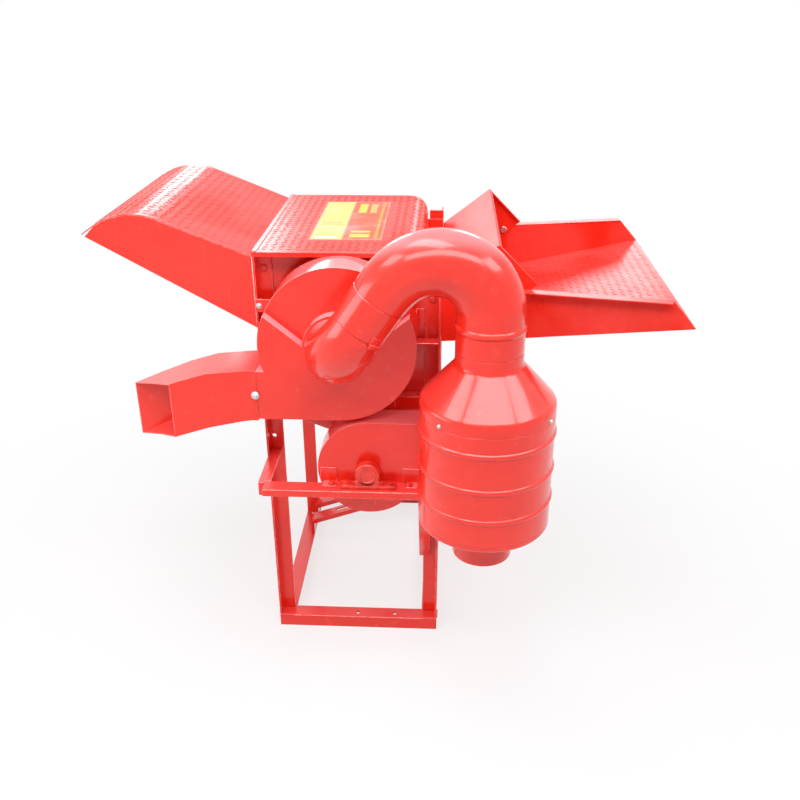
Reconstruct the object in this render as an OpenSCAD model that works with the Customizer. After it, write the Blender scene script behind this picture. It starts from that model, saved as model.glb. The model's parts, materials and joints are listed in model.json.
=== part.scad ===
// Small belt-driven threshing machine on an angle iron stand.
// Crop goes in at the right, a toothed drum beats it, and straw leaves at the left.
// Grain falls through a rod concave to an auger, a thrower sends it into the
// upright separator, and a fan on the drum shaft draws the chaff off through the arch.
// Origin: on the floor at the middle of the front base rail's lower edge.
// +X towards the feed tray, +Y towards the belt side, +Z up.

/* [Stand] */
// Width of the stand over the legs
stand_w = 360; // [340:1:420]
// Depth of the base frame
stand_d = 540; // [520:1:560]
// Distance from the front of the legs to the back of the rear legs
body_d = 470; // [440:1:480]
// Flange width of the leg angle iron
leg_w = 32; // [26:1:36]
// Thickness of all angle iron
iron_t = 4; // [3:0.5:5]
// Flange width of the base rails
rail_w = 35; // [30:1:40]
// Height of the base rails
rail_h = 30; // [25:1:36]
// Height of the right pair of legs
right_leg_h = 864; // [830:1:868]
// Diameter of the holes in the base rails
base_hole_d = 9; // [6:0.5:12]
// Distance between the two holes of the front base rail
base_hole_pitch = 85; // [60:1:120]
// Distance between the two holes of each side base rail
side_hole_pitch = 65; // [50:1:90]
// Slope of the slotted motor rails in degrees
motor_slope = 19.5; // [15:0.5:24]
// Length of a motor slot
motor_slot_l = 44; // [30:1:60]
// Width of a motor slot
motor_slot_w = 10; // [8:0.5:12]

/* [Threshing chamber] */
// Height of the top cover above the floor
cover_h = 890; // [885:1:900]
// Thickness of the sheet metal
sheet = 2; // [1.5:0.1:2.5]
// Distance of the curved end of the cover from the stand's left side
cover_w = 323; // [300:1:323]
// Radius of the curved end of the cover
cover_r = 38; // [25:1:45]
// Depth of the cover's front flange
cover_lip = 9; // [5:0.5:10]
// Drop from the cover to the sheet edge that the straw leaves over
straw_sill_drop = 153; // [140:1:160]
// Height of the chamber rails above the hopper's top
rail_rise = 32; // [28:1:40]
// Height of the drum and fan axis
drum_h = 736; // [733:1:740]
// Sideways place of the drum and fan axis
drum_x = -12; // [-16:1:-8]
// Radius of the drum's discs
disc_r = 96; // [88:1:98]
// Length of the drum teeth
tooth_l = 22; // [16:1:22]
// Number of beater bars
bar_count = 6; // [4:1:8]
// Number of teeth on each beater bar
tooth_count = 7; // [5:1:8]
// Radius of the drum shaft
shaft_r = 15; // [12:0.5:16]
// Number of rods in the concave
rod_count = 14; // [10:1:16]

/* [Straw hood] */
// Reach of the straw hood to the left of the legs
hood_reach = 323; // [280:1:340]
// Rise of the hood's tip above the cover
hood_tip_rise = 31; // [10:1:40]
// Rise of the hood's crest above the cover
hood_crest_rise = 70; // [55:1:80]
// Radius of the rolled end of the hood
hood_r = 135; // [125:1:150]

/* [Feed side] */
// Height of the feed mouth's floor at the legs
mouth_h = 716; // [712:1:720]
// Height of the feed mouth's top plate at the legs
mouth_top_h = 826; // [820:1:832]
// Reach of the mouth's top plate
mouth_reach = 106; // [90:1:110]
// Rise of the mouth's top plate
mouth_rise = 81; // [60:1:90]
// Length of the feed tray's floor
tray_l = 314; // [280:1:340]
// Rise of the feed tray's floor over its length
tray_rise = 48; // [30:1:55]
// Outward flare of each tray wall
tray_flare = 62; // [40:1:70]
// Height of the tray walls' top edge
tray_top_h = 822; // [818:1:828]
// Width of the feed mouth's folded lips
lip_w = 11; // [8:1:14]
// Width of the tray walls' folded lips
tray_lip_w = 22; // [10:1:22]
// Radius of the tray's pivot bolts
pivot_r = 4; // [3:0.5:5]

/* [Fan and ducts] */
// Outer radius of the fan casing
fan_r = 149; // [144:1:150]
// Depth of the fan casing's band
fan_d = 70; // [64:1:74]
// Height of the raised lower face
raised_d = 25; // [20:1:28]
// Radius of the fan impeller
impeller_r = 128; // [110:1:130]
// Number of fan blades
blade_count = 6; // [4:1:8]
// Radius of the suction elbow at the fan
elbow_r = 60; // [56:1:62]
// Radius of the pipe at the air gate
gate_r = 51; // [49:0.5:53]
// Length of the air gate sleeve
gate_l = 64; // [56:1:70]
// Lean of the elbow's outlet above level, in degrees
elbow_lean = 56; // [52:1:60]
// Radius of the suction pipe at the separator
neck_r = 60; // [58:0.5:62]
// Radius of the crown of the arch
crown_r = 57; // [54:0.5:60]
// Wall of the pipes
pipe_wall = 2; // [1.5:0.1:2.5]

/* [Separator] */
// Sideways place of the separator's axis
sep_x = 266; // [264:1:272]
// Radius of the separator drum
sep_r = 122; // [118:1:124]
// Height of the drum's shoulder
sep_top_h = 686; // [680:1:692]
// Height of the drum's lower rim
sep_low_h = 438; // [430:1:446]
// Radius of the grain outlet
outlet_r = 56; // [48:1:60]
// Height of the outlet's open end
outlet_h = 360; // [340:1:376]
// Proud height of the rolled beads
bead_h = 3; // [2:0.5:4]

/* [Thrower and auger] */
// Height of the thrower shaft
thrower_h = 482; // [480:1:485]
// Sideways place of the thrower shaft
thrower_x = 42; // [39:1:45]
// Height of the hopper's top above the thrower shaft
hopper_rise = 78; // [74:1:80]
// Radius of the thrower shaft
thrower_shaft_r = 10; // [8:0.5:11]
// Outer radius of the thrower casing
casing_r = 100; // [97:1:102]
// Depth of the thrower casing
casing_d = 60; // [52:1:64]
// Radius of the thrower paddles
paddle_r = 77; // [64:1:79]
// Outer radius of the auger flight
auger_r = 47; // [40:1:49]
// Pitch of the auger flight
auger_pitch = 76; // [60:1:96]
// Pitch radius of the drum pulley
drum_pulley_r = 75; // [60:1:85]
// Pitch radius of the thrower pulley
thrower_pulley_r = 45; // [38:1:60]
// Width of the drive belt
belt_w = 11; // [9:0.5:13]
// Height of the thrower shaft above the bearing rails
block_rise = 30; // [29:0.5:32]
// Distance between a pillow block's bolts
block_pitch = 86; // [80:1:90]

/* [Hidden] */

$fn = 48;
seat = 0.3;
run_fit = 0.05;
paint = [0.86, 0.13, 0.09];
bare_steel = [0.72, 0.72, 0.74];
rubber_black = [0.1, 0.1, 0.1];

half_w = stand_w / 2;
front_y = -iron_t / 2;
stand_back_y = front_y + stand_d;
back_y = front_y + body_d;
front_plate_y = front_y + leg_w;
back_plate_y = back_y - leg_w;
left_leg_h = cover_h - sheet - seat;
straw_sill_h = cover_h - straw_sill_drop;
hood_tip_h = cover_h + hood_tip_rise;
hopper_h = thrower_h + hopper_rise;
chamber_rail_h = hopper_h + rail_rise;
bearing_rail_h = thrower_h - block_rise;
rail_hole_inset = 16;
front_hole_x = 41.5;
side_hole_y = stand_back_y - 77.5;

cover_end_x = -half_w + cover_w;
cover_end_h = cover_h - 46;
inside_x = half_w - 2;

// Planes of the fan and thrower in front of the legs
fan_back_y = front_y - 3;
fan_band_y = fan_back_y - sheet - fan_d;
face_y = fan_band_y - raised_d;
casing_y = face_y;
casing_back_y = casing_y + casing_d;
outlet_top_h = 687;
outlet_x = -half_w + 2;
boss_r = 65;

// Elbow and arch share one upright plane
bend_r = 90;
arch_y = face_y - bend_r;
lean = [cos(elbow_lean), 0, sin(elbow_lean)];
elbow_start = [drum_x, face_y, drum_h];
function on_lean(s) = elbow_start + [0, arch_y - face_y, 0] + s * lean;
gate_start = 94;
gate_end = gate_start + gate_l;
arch_top = [178, arch_y, 931];
arch_drop_r = sep_x - arch_top[0];
neck_seam_h = 776;
neck_bead_h = 821;
collar_h = 755;
lap_h = 665;
bead_heights = [629, 559, 498];

// Thrower casing
casing_top_h = thrower_h + casing_r;
chute_low_h = thrower_h + 18;
chute_end_x = 262;
casing_neck_x = 150;
trough_r = auger_r + 7;

// Bearing rails and rear belt plane
rail_front_y = front_y - 141;
rail_front_back_y = front_y - 107;
rail_left_x = -half_w + 15;
rail_right_x = 152;
rail_lip = 15;
bearing_y = front_y - 120;
rear_bearing_y = back_y + 17;
belt_y = back_y + 46;
groove_depth = 4.3;
pulley_step = 16;

// Tray pivot
tray_x = half_w + 154;
pivot_x = half_w + 142;
pivot_h = 812;
wall_start_x = half_w + 128;
wall_bend_x = half_w + 167;
tray_end_x = tray_x + tray_l;
tray_low_h = mouth_h + 8;

// Cover hinges
hinge_y = back_y + 5.8;
hinge_h = cover_h - 28;
hinge_r = 5;
hinge_pin_r = 2.5;
hinge_places = [-110, 50];

// Bolt sizes
bolt_r = 4;
bolt_head_r = 7;
bolt_head_l = 5;

// Basic placing modules
module slab(y0, y1) {
    translate([0, y1, 0]) rotate([90, 0, 0]) linear_extrude(height = y1 - y0) children();
}

module prism_x(x0, x1) {
    translate([x0, 0, 0]) rotate([90, 0, 90]) linear_extrude(height = x1 - x0) children();
}

module block(low, high) {
    translate(low) cube(high - low);
}

module rod_y(x, z, y0, y1, r) {
    translate([x, y1, z]) rotate([90, 0, 0]) cylinder(h = y1 - y0, r = r);
}

module rod_z(x, y, z0, z1, r) {
    translate([x, y, z0]) cylinder(h = z1 - z0, r = r);
}

// Outline helpers: a thin strip of sheet along a bent line
function side_normal(a, b) = let (d = b - a) [-d[1], d[0]] / norm(d);
function corner_normal(p, i) =
    i == 0 ? side_normal(p[0], p[1])
    : i == len(p) - 1 ? side_normal(p[i - 1], p[i])
    : let (m = side_normal(p[i - 1], p[i]) + side_normal(p[i], p[i + 1])) 2 * m / (m * m);
function shifted(p, t) = [for (i = [0:len(p) - 1]) p[i] + t * corner_normal(p, i)];
function reversed(p) = [for (i = [len(p) - 1:-1:0]) p[i]];
function strip(p, t) = concat(p, reversed(shifted(p, t)));
function arc(cx, cz, r, a0, a1, n) =
    [for (i = [0:n]) let (a = a0 + (a1 - a0) * i / n) [cx + r * cos(a), cz + r * sin(a)]];

// Pipe shell swept along stations of [centre, direction, radius]
function ring(st, n, r, k) = let (b = cross(st[1], n))
    [for (i = [0:k - 1]) st[0] + r * (cos(360 * i / k) * n + sin(360 * i / k) * b)];

module swept_pipe(stations, n, wall, k) {
    m = len(stations);
    outer = [for (s = stations) each ring(s, n, s[2], k)];
    inner = [for (s = stations) each ring(s, n, s[2] - wall, k)];
    off = m * k;
    side_faces = [for (j = [0:m - 2], i = [0:k - 1])
        let (a = j * k + i, b = j * k + (i + 1) % k, c = b + k, d = a + k)
        each [[c, b, a], [d, c, a], [off + a, off + b, off + c], [off + a, off + c, off + d]]];
    last = (m - 1) * k;
    end_faces = [for (i = [0:k - 1]) let (j = (i + 1) % k)
        each [[off + j, off + i, i], [j, off + j, i],
            [off + last + j, last + j, last + i], [off + last + i, off + last + j, last + i]]];
    polyhedron(points = concat(outer, inner), faces = concat(side_faces, end_faces), convexity = 6);
}

// Stand

module leg(side, y_corner, y_open, top) {
    mirror([side < 0 ? 0 : 1, 0, 0]) color(paint)
    translate([-half_w, 0, rail_h]) linear_extrude(height = top - rail_h) {
        translate([0, min(y_corner, y_open)]) square([iron_t, leg_w]);
        translate([0, y_corner < y_open ? y_corner : y_corner - iron_t]) square([leg_w, iron_t]);
    }
}

module front_left_leg() {
    difference() {
        leg(-1, front_plate_y, front_y, left_leg_h);
        rod_y(-half_w + 12, 483, front_y, back_y, 4.5);
    }
}

module rear_left_leg() { leg(-1, back_plate_y, back_y, left_leg_h); }
module front_right_leg() { leg(1, front_plate_y, front_y, right_leg_h); }
module rear_right_leg() { leg(1, back_plate_y, back_y, right_leg_h); }

module rail_section(w, h) {
    translate([0, h - iron_t]) square([w, iron_t]);
    square([iron_t, h]);
}

module front_base_rail() {
    color(paint) difference() {
        prism_x(-half_w, half_w) translate([front_y, 0]) rail_section(rail_w, rail_h);
        for (s = [-0.5, 0.5])
            rod_z(front_hole_x + s * base_hole_pitch, front_y + rail_hole_inset,
                rail_h - iron_t - 1, rail_h + 1, base_hole_d / 2);
    }
}

module rear_base_rail() {
    color(paint) prism_x(-half_w, half_w)
        translate([stand_back_y, 0]) mirror([1, 0]) rail_section(rail_w, rail_h);
}

module side_base_rail(side) {
    mirror([side < 0 ? 0 : 1, 0, 0]) color(paint) difference() {
        slab(front_y + rail_w, stand_back_y - rail_w)
            translate([-half_w, 0]) rail_section(rail_w, rail_h);
        for (s = [-0.5, 0.5])
            rod_z(-half_w + rail_hole_inset, side_hole_y + s * side_hole_pitch,
                rail_h - iron_t - 1, rail_h + 1, base_hole_d / 2);
    }
}

module left_base_rail() { side_base_rail(-1); }
module right_base_rail() { side_base_rail(1); }

// Slotted rails for the motor, rising to the right
motor_rail_w = 35;
motor_left_x = -half_w + rail_w - 3;
motor_left_h = 73;
motor_rear_y = back_plate_y - motor_rail_w;
motor_front_y = motor_rear_y - 75;

module motor_rail(y0, right_x) {
    run = (right_x - motor_left_x) / cos(motor_slope);
    color(paint) translate([motor_left_x, y0, motor_left_h]) rotate([0, -motor_slope, 0])
    difference() {
        union() {
            block([0, 0, -iron_t], [run, motor_rail_w, 0]);
            block([0, 0, -12], [run, iron_t, -iron_t / 2]);
        }
        for (s = [0.28, 0.68]) translate([run * s, motor_rail_w / 2 + 3, -iron_t - 1]) {
            for (e = [-1, 1]) translate([e * (motor_slot_l - motor_slot_w) / 2, 0, 0])
                cylinder(h = iron_t + 2, r = motor_slot_w / 2);
            block([-(motor_slot_l - motor_slot_w) / 2, -motor_slot_w / 2, 0],
                [(motor_slot_l - motor_slot_w) / 2, motor_slot_w / 2, iron_t + 2]);
        }
    }
}

module motor_foot(y0) {
    color(paint) block([motor_left_x - 4, y0, rail_h], [motor_left_x + 3, y0 + motor_rail_w, motor_left_h - 3.5]);
}

module motor_rail_front() {
    motor_rail(motor_front_y, 132);
    motor_foot(motor_front_y);
}

module motor_rail_rear() {
    motor_rail(motor_rear_y, half_w - leg_w + 14);
    motor_foot(motor_rear_y);
}

module motor_rail_stay() {
    stay_x = 104;
    stay_h = motor_left_h + (stay_x - motor_left_x) * tan(motor_slope) - iron_t / cos(motor_slope);
    color(paint) translate([stay_x, 0, stay_h]) rotate([0, -motor_slope, 0])
        block([-12, motor_front_y + iron_t + seat, -iron_t],
            [12, motor_rear_y - seat, -seat / 2]);
}

module chamber_rail(y_out, y_in) {
    y0 = min(y_out, y_in);
    y1 = max(y_out, y_in);
    wall_y = y_out < y_in ? y_out : y_out - iron_t;
    color(paint) difference() {
        union() {
            block([-half_w + iron_t, y0, chamber_rail_h - iron_t], [half_w - iron_t, y1, chamber_rail_h]);
            block([-half_w + iron_t, wall_y, chamber_rail_h - 30], [half_w - iron_t, wall_y + iron_t, chamber_rail_h]);
        }
        for (x = [-136, 136])
            rod_z(x, (y0 + y1) / 2, chamber_rail_h - iron_t - 1, chamber_rail_h + 1, bolt_r);
    }
}

module chamber_rail_front() { chamber_rail(front_y, front_plate_y - iron_t - seat); }
module chamber_rail_rear() { chamber_rail(back_y, back_plate_y + iron_t + seat); }

block_bolts = [for (s = [-0.5, 0.5]) thrower_x + s * block_pitch];
clip_left_x = -53;
clip_right_x = 110;
clip_w = 32;
clip_bolts = [clip_left_x + 24, clip_right_x + 13];
clip_bolt_y = rail_front_back_y - 9;

module bearing_rail_front() {
    color(paint) difference() {
        union() {
            block([rail_left_x, rail_front_y, bearing_rail_h - iron_t],
                [rail_right_x, rail_front_back_y, bearing_rail_h]);
            block([rail_left_x, rail_front_y, bearing_rail_h - rail_lip],
                [rail_right_x, rail_front_y + iron_t, bearing_rail_h]);
        }
        for (x = block_bolts)
            rod_z(x, bearing_y, bearing_rail_h - iron_t - 1, bearing_rail_h + 1, bolt_r + run_fit);
        for (x = clip_bolts)
            rod_z(x, clip_bolt_y, bearing_rail_h - iron_t - 1, bearing_rail_h + 1, bolt_r + run_fit);
    }
}

module bearing_rail_rear() {
    color(paint) difference() {
        union() {
            block([-half_w, back_y, bearing_rail_h - iron_t], [half_w, back_y + 34, bearing_rail_h]);
            block([-half_w, back_y, bearing_rail_h - 31], [half_w, back_y + iron_t, bearing_rail_h]);
        }
        for (x = block_bolts)
            rod_z(x, rear_bearing_y, bearing_rail_h - iron_t - 1, bearing_rail_h + 1, bolt_r + run_fit);
    }
}

module bearing_arm() {
    arm_x = -half_w + 2;
    arm_end_x = -half_w + 26;
    end_y = rail_front_back_y - 6;
    top = bearing_rail_h;
    color(paint) {
        block([arm_x, end_y, top - 30], [arm_x + iron_t, front_y, top]);
        block([arm_x, end_y, top - iron_t], [rail_left_x - seat, front_y, top]);
        block([arm_x, end_y, top - 30], [rail_left_x - seat, end_y + iron_t, top]);
        block([arm_x, rail_front_back_y + seat, top - iron_t], [arm_end_x, front_y, top]);
        block([-half_w + iron_t + seat, front_y - 1, top - iron_t],
            [arm_end_x, front_plate_y - iron_t - seat, top]);
    }
}

strut_x = rail_right_x - 12;
strut_foot_h = 195;

module bearing_strut() {
    y0 = rail_front_back_y + seat;
    y1 = front_plate_y - iron_t - seat;
    color(paint) prism_x(strut_x, strut_x + 24)
        polygon([[y0, bearing_rail_h], [y0, bearing_rail_h - 16], [y1 - 14, strut_foot_h],
            [y1, strut_foot_h], [y1, strut_foot_h + 26]]);
}

hinge_rail_x = 100;

module hinge_rail() {
    color(paint) {
        fixed_leaves();
        block([-half_w + iron_t, back_plate_y + iron_t + seat, left_leg_h - iron_t], [hinge_rail_x, back_y, left_leg_h]);
        block([-half_w + leg_w + seat, back_plate_y + seat, left_leg_h - iron_t],
            [hinge_rail_x, back_plate_y + iron_t + 1, left_leg_h]);
        block([-half_w + iron_t, back_y - iron_t, left_leg_h - 52], [hinge_rail_x, back_y, left_leg_h]);
    }
}

// Threshing chamber

function cover_line() = concat(
    [[-half_w, cover_h]],
    arc(cover_end_x - cover_r, cover_h - cover_r, cover_r, 90, 0, 8),
    [[cover_end_x, cover_end_h]]);

module chamber_outline() {
    top = shifted(cover_line(), -sheet - seat);
    n = len(top);
    polygon(concat([[-inside_x, hopper_h + seat], [-inside_x, top[0][1]]],
        [for (i = [1:n - 2]) top[i]],
        [[top[n - 1][0], cover_end_h - seat], [inside_x, cover_end_h - seat], [inside_x, hopper_h + seat]]));
}

// Angle iron shelves between the legs that carry the drum's bearings
drum_rail_h = drum_h - 27;
front_drum_y = front_y + 14;
rear_drum_y = back_y - 14;

module drum_rail(y_out, y_in) {
    y0 = min(y_out, y_in);
    y1 = max(y_out, y_in);
    wall_y = y_out < y_in ? y_in - iron_t : y_in;
    color(paint) difference() {
        union() {
            block([-half_w + iron_t, y0, drum_rail_h - iron_t], [half_w - iron_t, y1, drum_rail_h]);
            block([-half_w + iron_t, wall_y, drum_rail_h - 26], [half_w - iron_t, wall_y + iron_t, drum_rail_h]);
        }
        for (s = [-0.5, 0.5])
            rod_z(drum_x + s * block_pitch, y_out < y_in ? front_drum_y : rear_drum_y,
                drum_rail_h - iron_t - 1, drum_rail_h + 1, bolt_r + run_fit);
    }
}

module drum_bearing_rails() {
    drum_rail(front_y, front_plate_y - iron_t - seat);
    drum_rail(back_y, back_plate_y + iron_t + seat);
}

module front_side_plate() {
    color(paint) difference() {
        slab(front_plate_y, front_plate_y + sheet) chamber_outline();
        rod_y(drum_x, drum_h, front_plate_y - 1, front_plate_y + sheet + 1, shaft_r + 2);
    }
}

module rear_side_plate() {
    color(paint) difference() {
        slab(back_plate_y - sheet, back_plate_y) chamber_outline();
        rod_y(drum_x, drum_h, back_plate_y - sheet - 1, back_plate_y + 1, shaft_r + 2);
    }
}

wall_y0 = front_plate_y + sheet + seat;
wall_y1 = back_plate_y - sheet - seat;

module chamber_end_walls() {
    line = [[-inside_x, hopper_h + seat], [-inside_x, straw_sill_h], [drum_x - 123, straw_sill_h - 45]];
    color(paint) {
        slab(wall_y0, wall_y1) polygon(strip(line, -sheet));
        block([inside_x - sheet, wall_y0, hopper_h + seat], [inside_x, wall_y1, mouth_h - sheet - seat]);
    }
}

concave_r = 124;
concave_from = 200;
concave_to = 343;

module concave_rib(y0) {
    slab(y0, y0 + iron_t) polygon(concat(
        arc(drum_x, drum_h, concave_r, concave_from, concave_to, 18),
        arc(drum_x, drum_h, concave_r + 13, concave_to, concave_from, 18)));
}

module concave_rod_set(r) {
    for (i = [0:rod_count - 1]) {
        a = concave_from + 4 + (concave_to - concave_from - 8) * i / (rod_count - 1);
        rod_y(drum_x + (concave_r + 6.5) * cos(a), drum_h + (concave_r + 6.5) * sin(a), wall_y0, wall_y1, r);
    }
}

module concave_ribs() {
    color(bare_steel) difference() {
        for (y = [wall_y0, (wall_y0 + wall_y1 - iron_t) / 2, wall_y1 - iron_t]) concave_rib(y);
        concave_rod_set(4 + run_fit);
    }
}

module concave_rods() {
    color(bare_steel) concave_rod_set(4);
}

module hopper_outline(g) {
    slope_h = hopper_h - 12;
    polygon([[-inside_x + g, hopper_h + (g > 0 ? 1 : 0)], [-inside_x + g, slope_h + g / 2],
        [thrower_x - trough_r + g, thrower_h], [thrower_x + trough_r - g, thrower_h],
        [inside_x - g, slope_h + g / 2], [inside_x - g, hopper_h + (g > 0 ? 1 : 0)]]);
    translate([thrower_x, thrower_h]) circle(r = trough_r - g);
}

module grain_hopper() {
    color(paint) difference() {
        union() {
            slab(front_plate_y, back_plate_y) hopper_outline(0);
            rod_y(thrower_x, thrower_h, casing_back_y + seat, front_plate_y + 1, trough_r);
        }
        slab(front_plate_y + sheet, back_plate_y - sheet) hopper_outline(sheet);
        rod_y(thrower_x, thrower_h, casing_back_y - 1, front_plate_y + sheet + 1, trough_r - sheet);
        rod_y(thrower_x, thrower_h, back_plate_y - sheet - 1, back_plate_y + 1, thrower_shaft_r + 2);
    }
}

module top_cover() {
    skirt_low = hinge_h + 8.6;
    color(paint) {
        slab(front_y, back_y) polygon(strip(cover_line(), -sheet));
        slab(front_y - seat - sheet, front_y + 1) polygon(strip(cover_line(), -sheet));
        slab(front_y - seat - sheet, front_y - seat)
            polygon(strip(cover_line(), -cover_lip));
        block([-half_w, front_y, cover_h], [-half_w + 9, back_y, cover_h + 1.5]);
        block([-half_w, back_y - 1, cover_h - sheet], [hinge_rail_x, back_y + seat + sheet, cover_h]);
        block([-half_w, back_y + seat, skirt_low], [hinge_rail_x, back_y + seat + sheet, cover_h]);
    }
}

module knuckle(x0, x1) {
    translate([x0, hinge_y, hinge_h]) rotate([0, 90, 0]) cylinder(h = x1 - x0, r = hinge_r);
}

module pin_bore(x) {
    translate([x - 40, hinge_y, hinge_h]) rotate([0, 90, 0]) cylinder(h = 80, r = hinge_pin_r + run_fit);
}

// The fixed halves of the hinges are welded to the hinge rail
module fixed_leaves() {
    for (x = hinge_places) difference() {
        union() {
            block([x - 25, back_y - 1, hinge_h - 24], [x + 25, back_y + sheet, hinge_h - 6.5]);
            for (s = [-25, 11]) {
                knuckle(x + s, x + s + 14);
                block([x + s, back_y, hinge_h - 7], [x + s + 14, back_y + sheet, hinge_h]);
            }
        }
        pin_bore(x);
    }
}

module cover_hinge_leaves() {
    leaf_y = back_y + seat + sheet;
    color(paint) for (x = hinge_places) difference() {
        union() {
            block([x - 25, leaf_y, hinge_h + 7], [x + 25, leaf_y + sheet, cover_h - 3]);
            knuckle(x - 10.6, x + 10.6);
            block([x - 10.6, leaf_y, hinge_h], [x + 10.6, leaf_y + sheet, hinge_h + 8]);
        }
        pin_bore(x);
    }
}

module hinge_pins() {
    color(bare_steel) for (x = hinge_places)
        translate([x - 28, hinge_y, hinge_h]) rotate([0, 90, 0]) {
            cylinder(h = 56, r = hinge_pin_r);
            translate([0, 0, -1]) cylinder(h = 3 - seat, r = hinge_pin_r + 1.3);
        }
}

// Straw hood on the left

hood_x = -half_w - seat;
hood_tip = [-half_w - hood_reach, hood_tip_h];
hood_crest = [-half_w - 224, cover_h + hood_crest_rise];

function hood_line() = concat(
    [[hood_x, cover_h - 9]],
    arc(hood_crest[0], hood_crest[1] - hood_r, hood_r, 68, 124, 10),
    [hood_tip]);

module straw_hood_top() {
    color(paint) slab(front_y, back_y) polygon(strip(hood_line(), sheet));
}

module hood_side(y0, hem_y) {
    edge = shifted(hood_line(), sheet + seat);
    low = [hood_x, straw_sill_h];
    color(paint) {
        slab(y0, y0 + sheet) polygon(concat([for (i = [0:len(edge) - 2]) edge[i]], [hood_tip + [6, -5], low]));
        slab(hem_y, hem_y + lip_w) polygon(strip([low + [-1.4, 0.8], hood_tip + [8, -4.2]], -sheet));
    }
}

module straw_hood_front_side() { hood_side(front_y, front_y + sheet - 0.1); }
module straw_hood_rear_side() { hood_side(back_y - sheet, back_y - sheet - lip_w + 0.1); }

// Feed mouth and tray on the right

mouth_x = half_w + seat;
mouth_tip = [half_w + mouth_reach, mouth_top_h + mouth_rise];
cheek_corner = [half_w + 180, 832];

module cheek(y0) {
    color(paint) difference() {
        slab(y0, y0 + sheet) polygon([[mouth_x, mouth_h - sheet], [mouth_x, mouth_top_h], mouth_tip,
            cheek_corner, [half_w + 150, 802], [tray_x, mouth_h + 8 - sheet]]);
        rod_y(pivot_x, pivot_h, y0 - 1, y0 + sheet + 1, pivot_r + run_fit);
    }
}

module feed_mouth() {
    top_line = [[mouth_x, mouth_top_h], mouth_tip];
    floor_line = [[mouth_x, mouth_h], [tray_x, mouth_h + 8]];
    color(paint) {
        slab(front_y, back_y) polygon(strip(top_line, -sheet));
        slab(wall_y0, wall_y1) polygon(strip([[cover_end_x + sheet, cover_end_h - 2],
            [cover_end_x + sheet, mouth_top_h], [mouth_x + 1, mouth_top_h]], -sheet));
        slab(front_y, back_y) polygon(strip(floor_line, -sheet));
        slab(wall_y0, wall_y1) polygon(strip([[drum_x + 134, mouth_h - 1], [mouth_x + 1, mouth_h]], -sheet));
        slab(front_y, front_y + lip_w) polygon(strip([mouth_tip, cheek_corner], -sheet));
        slab(back_y - lip_w, back_y) polygon(strip([mouth_tip, cheek_corner], -sheet));
        slab(front_y, back_y) polygon(strip([mouth_tip, mouth_tip + [6, -6.5]], -sheet));
    }
    cheek(front_y);
    cheek(back_y - sheet);
}

// Plan of the tray at its centre line, one side at a time
function tray_side(out) = [[wall_start_x, out], [wall_bend_x, out], [tray_end_x, out + sign(out) * tray_flare]];
tray_front_y = front_y - seat;
tray_back_y = back_y + seat;

module tray_profile() {
    polygon([[wall_start_x, mouth_h + 4], [wall_start_x, tray_top_h], [tray_end_x - 44, tray_top_h],
        [tray_end_x, tray_low_h + tray_rise], [tray_x + seat, tray_low_h - sheet]]);
}

module tray_wall(out) {
    side = tray_side(out);
    turn = out < 0 ? -1 : 1;
    intersection() {
        linear_extrude(height = 1000) polygon(strip(side, turn * sheet));
        slab(front_y - 160, back_y + 160) tray_profile();
    }
    lip_line = [[half_w + 153, out], [wall_bend_x, out], [tray_end_x - 44, out + turn * tray_flare * 0.82]];
    translate([0, 0, tray_top_h - sheet]) linear_extrude(height = sheet)
        polygon(strip(lip_line, turn * tray_lip_w));
}

module feed_tray() {
    color(paint) difference() {
        union() {
            tray_wall(tray_front_y);
            tray_wall(tray_back_y);
            intersection() {
                linear_extrude(height = 1000) polygon(concat(
                    [[tray_x + seat, tray_front_y - 1]], [for (i = [1:2]) tray_side(tray_front_y)[i] - [0, 1]],
                    [for (i = [2:-1:1]) tray_side(tray_back_y)[i] + [0, 1]], [[tray_x + seat, tray_back_y + 1]]));
                slab(front_y - 160, back_y + 160) polygon(strip([[tray_x + seat, tray_low_h],
                    [tray_end_x, tray_low_h + tray_rise]], -sheet));
            }
        }
        for (y = [tray_front_y - sheet - 1, tray_back_y - 1])
            rod_y(pivot_x, pivot_h, y, y + sheet + 2, pivot_r + run_fit);
    }
}

// Fan casing on the front

module fan_outline(g) {
    translate([drum_x, drum_h]) circle(r = fan_r - g);
    translate([outlet_x - (g > 0 ? 5 : 0), drum_h - fan_r + g])
        square([drum_x - outlet_x + (g > 0 ? 5 : 0), outlet_top_h - drum_h + fan_r - 2 * g]);
}

// The raised part of the face lies below a bent ledge and round the inlet
module raised_outline(g) {
    drop = 1.3 * g;
    intersection() {
        fan_outline(g);
        union() {
            polygon([[drum_x - 188, drum_h + 106 - drop], [drum_x - boss_r + 3, drum_h + 1 - drop],
                [drum_x + boss_r - 3, drum_h + 1 - drop], [drum_x + 188, drum_h + 106 - drop],
                [drum_x + 188, drum_h - 200], [drum_x - 188, drum_h - 200]]);
            translate([drum_x, drum_h]) circle(r = boss_r - g);
        }
    }
}

module fan_scroll() {
    color(paint) difference() {
        slab(fan_band_y, fan_back_y - sheet) fan_outline(0);
        slab(fan_band_y - 1, fan_back_y - sheet + 1) fan_outline(sheet);
    }
}

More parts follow.
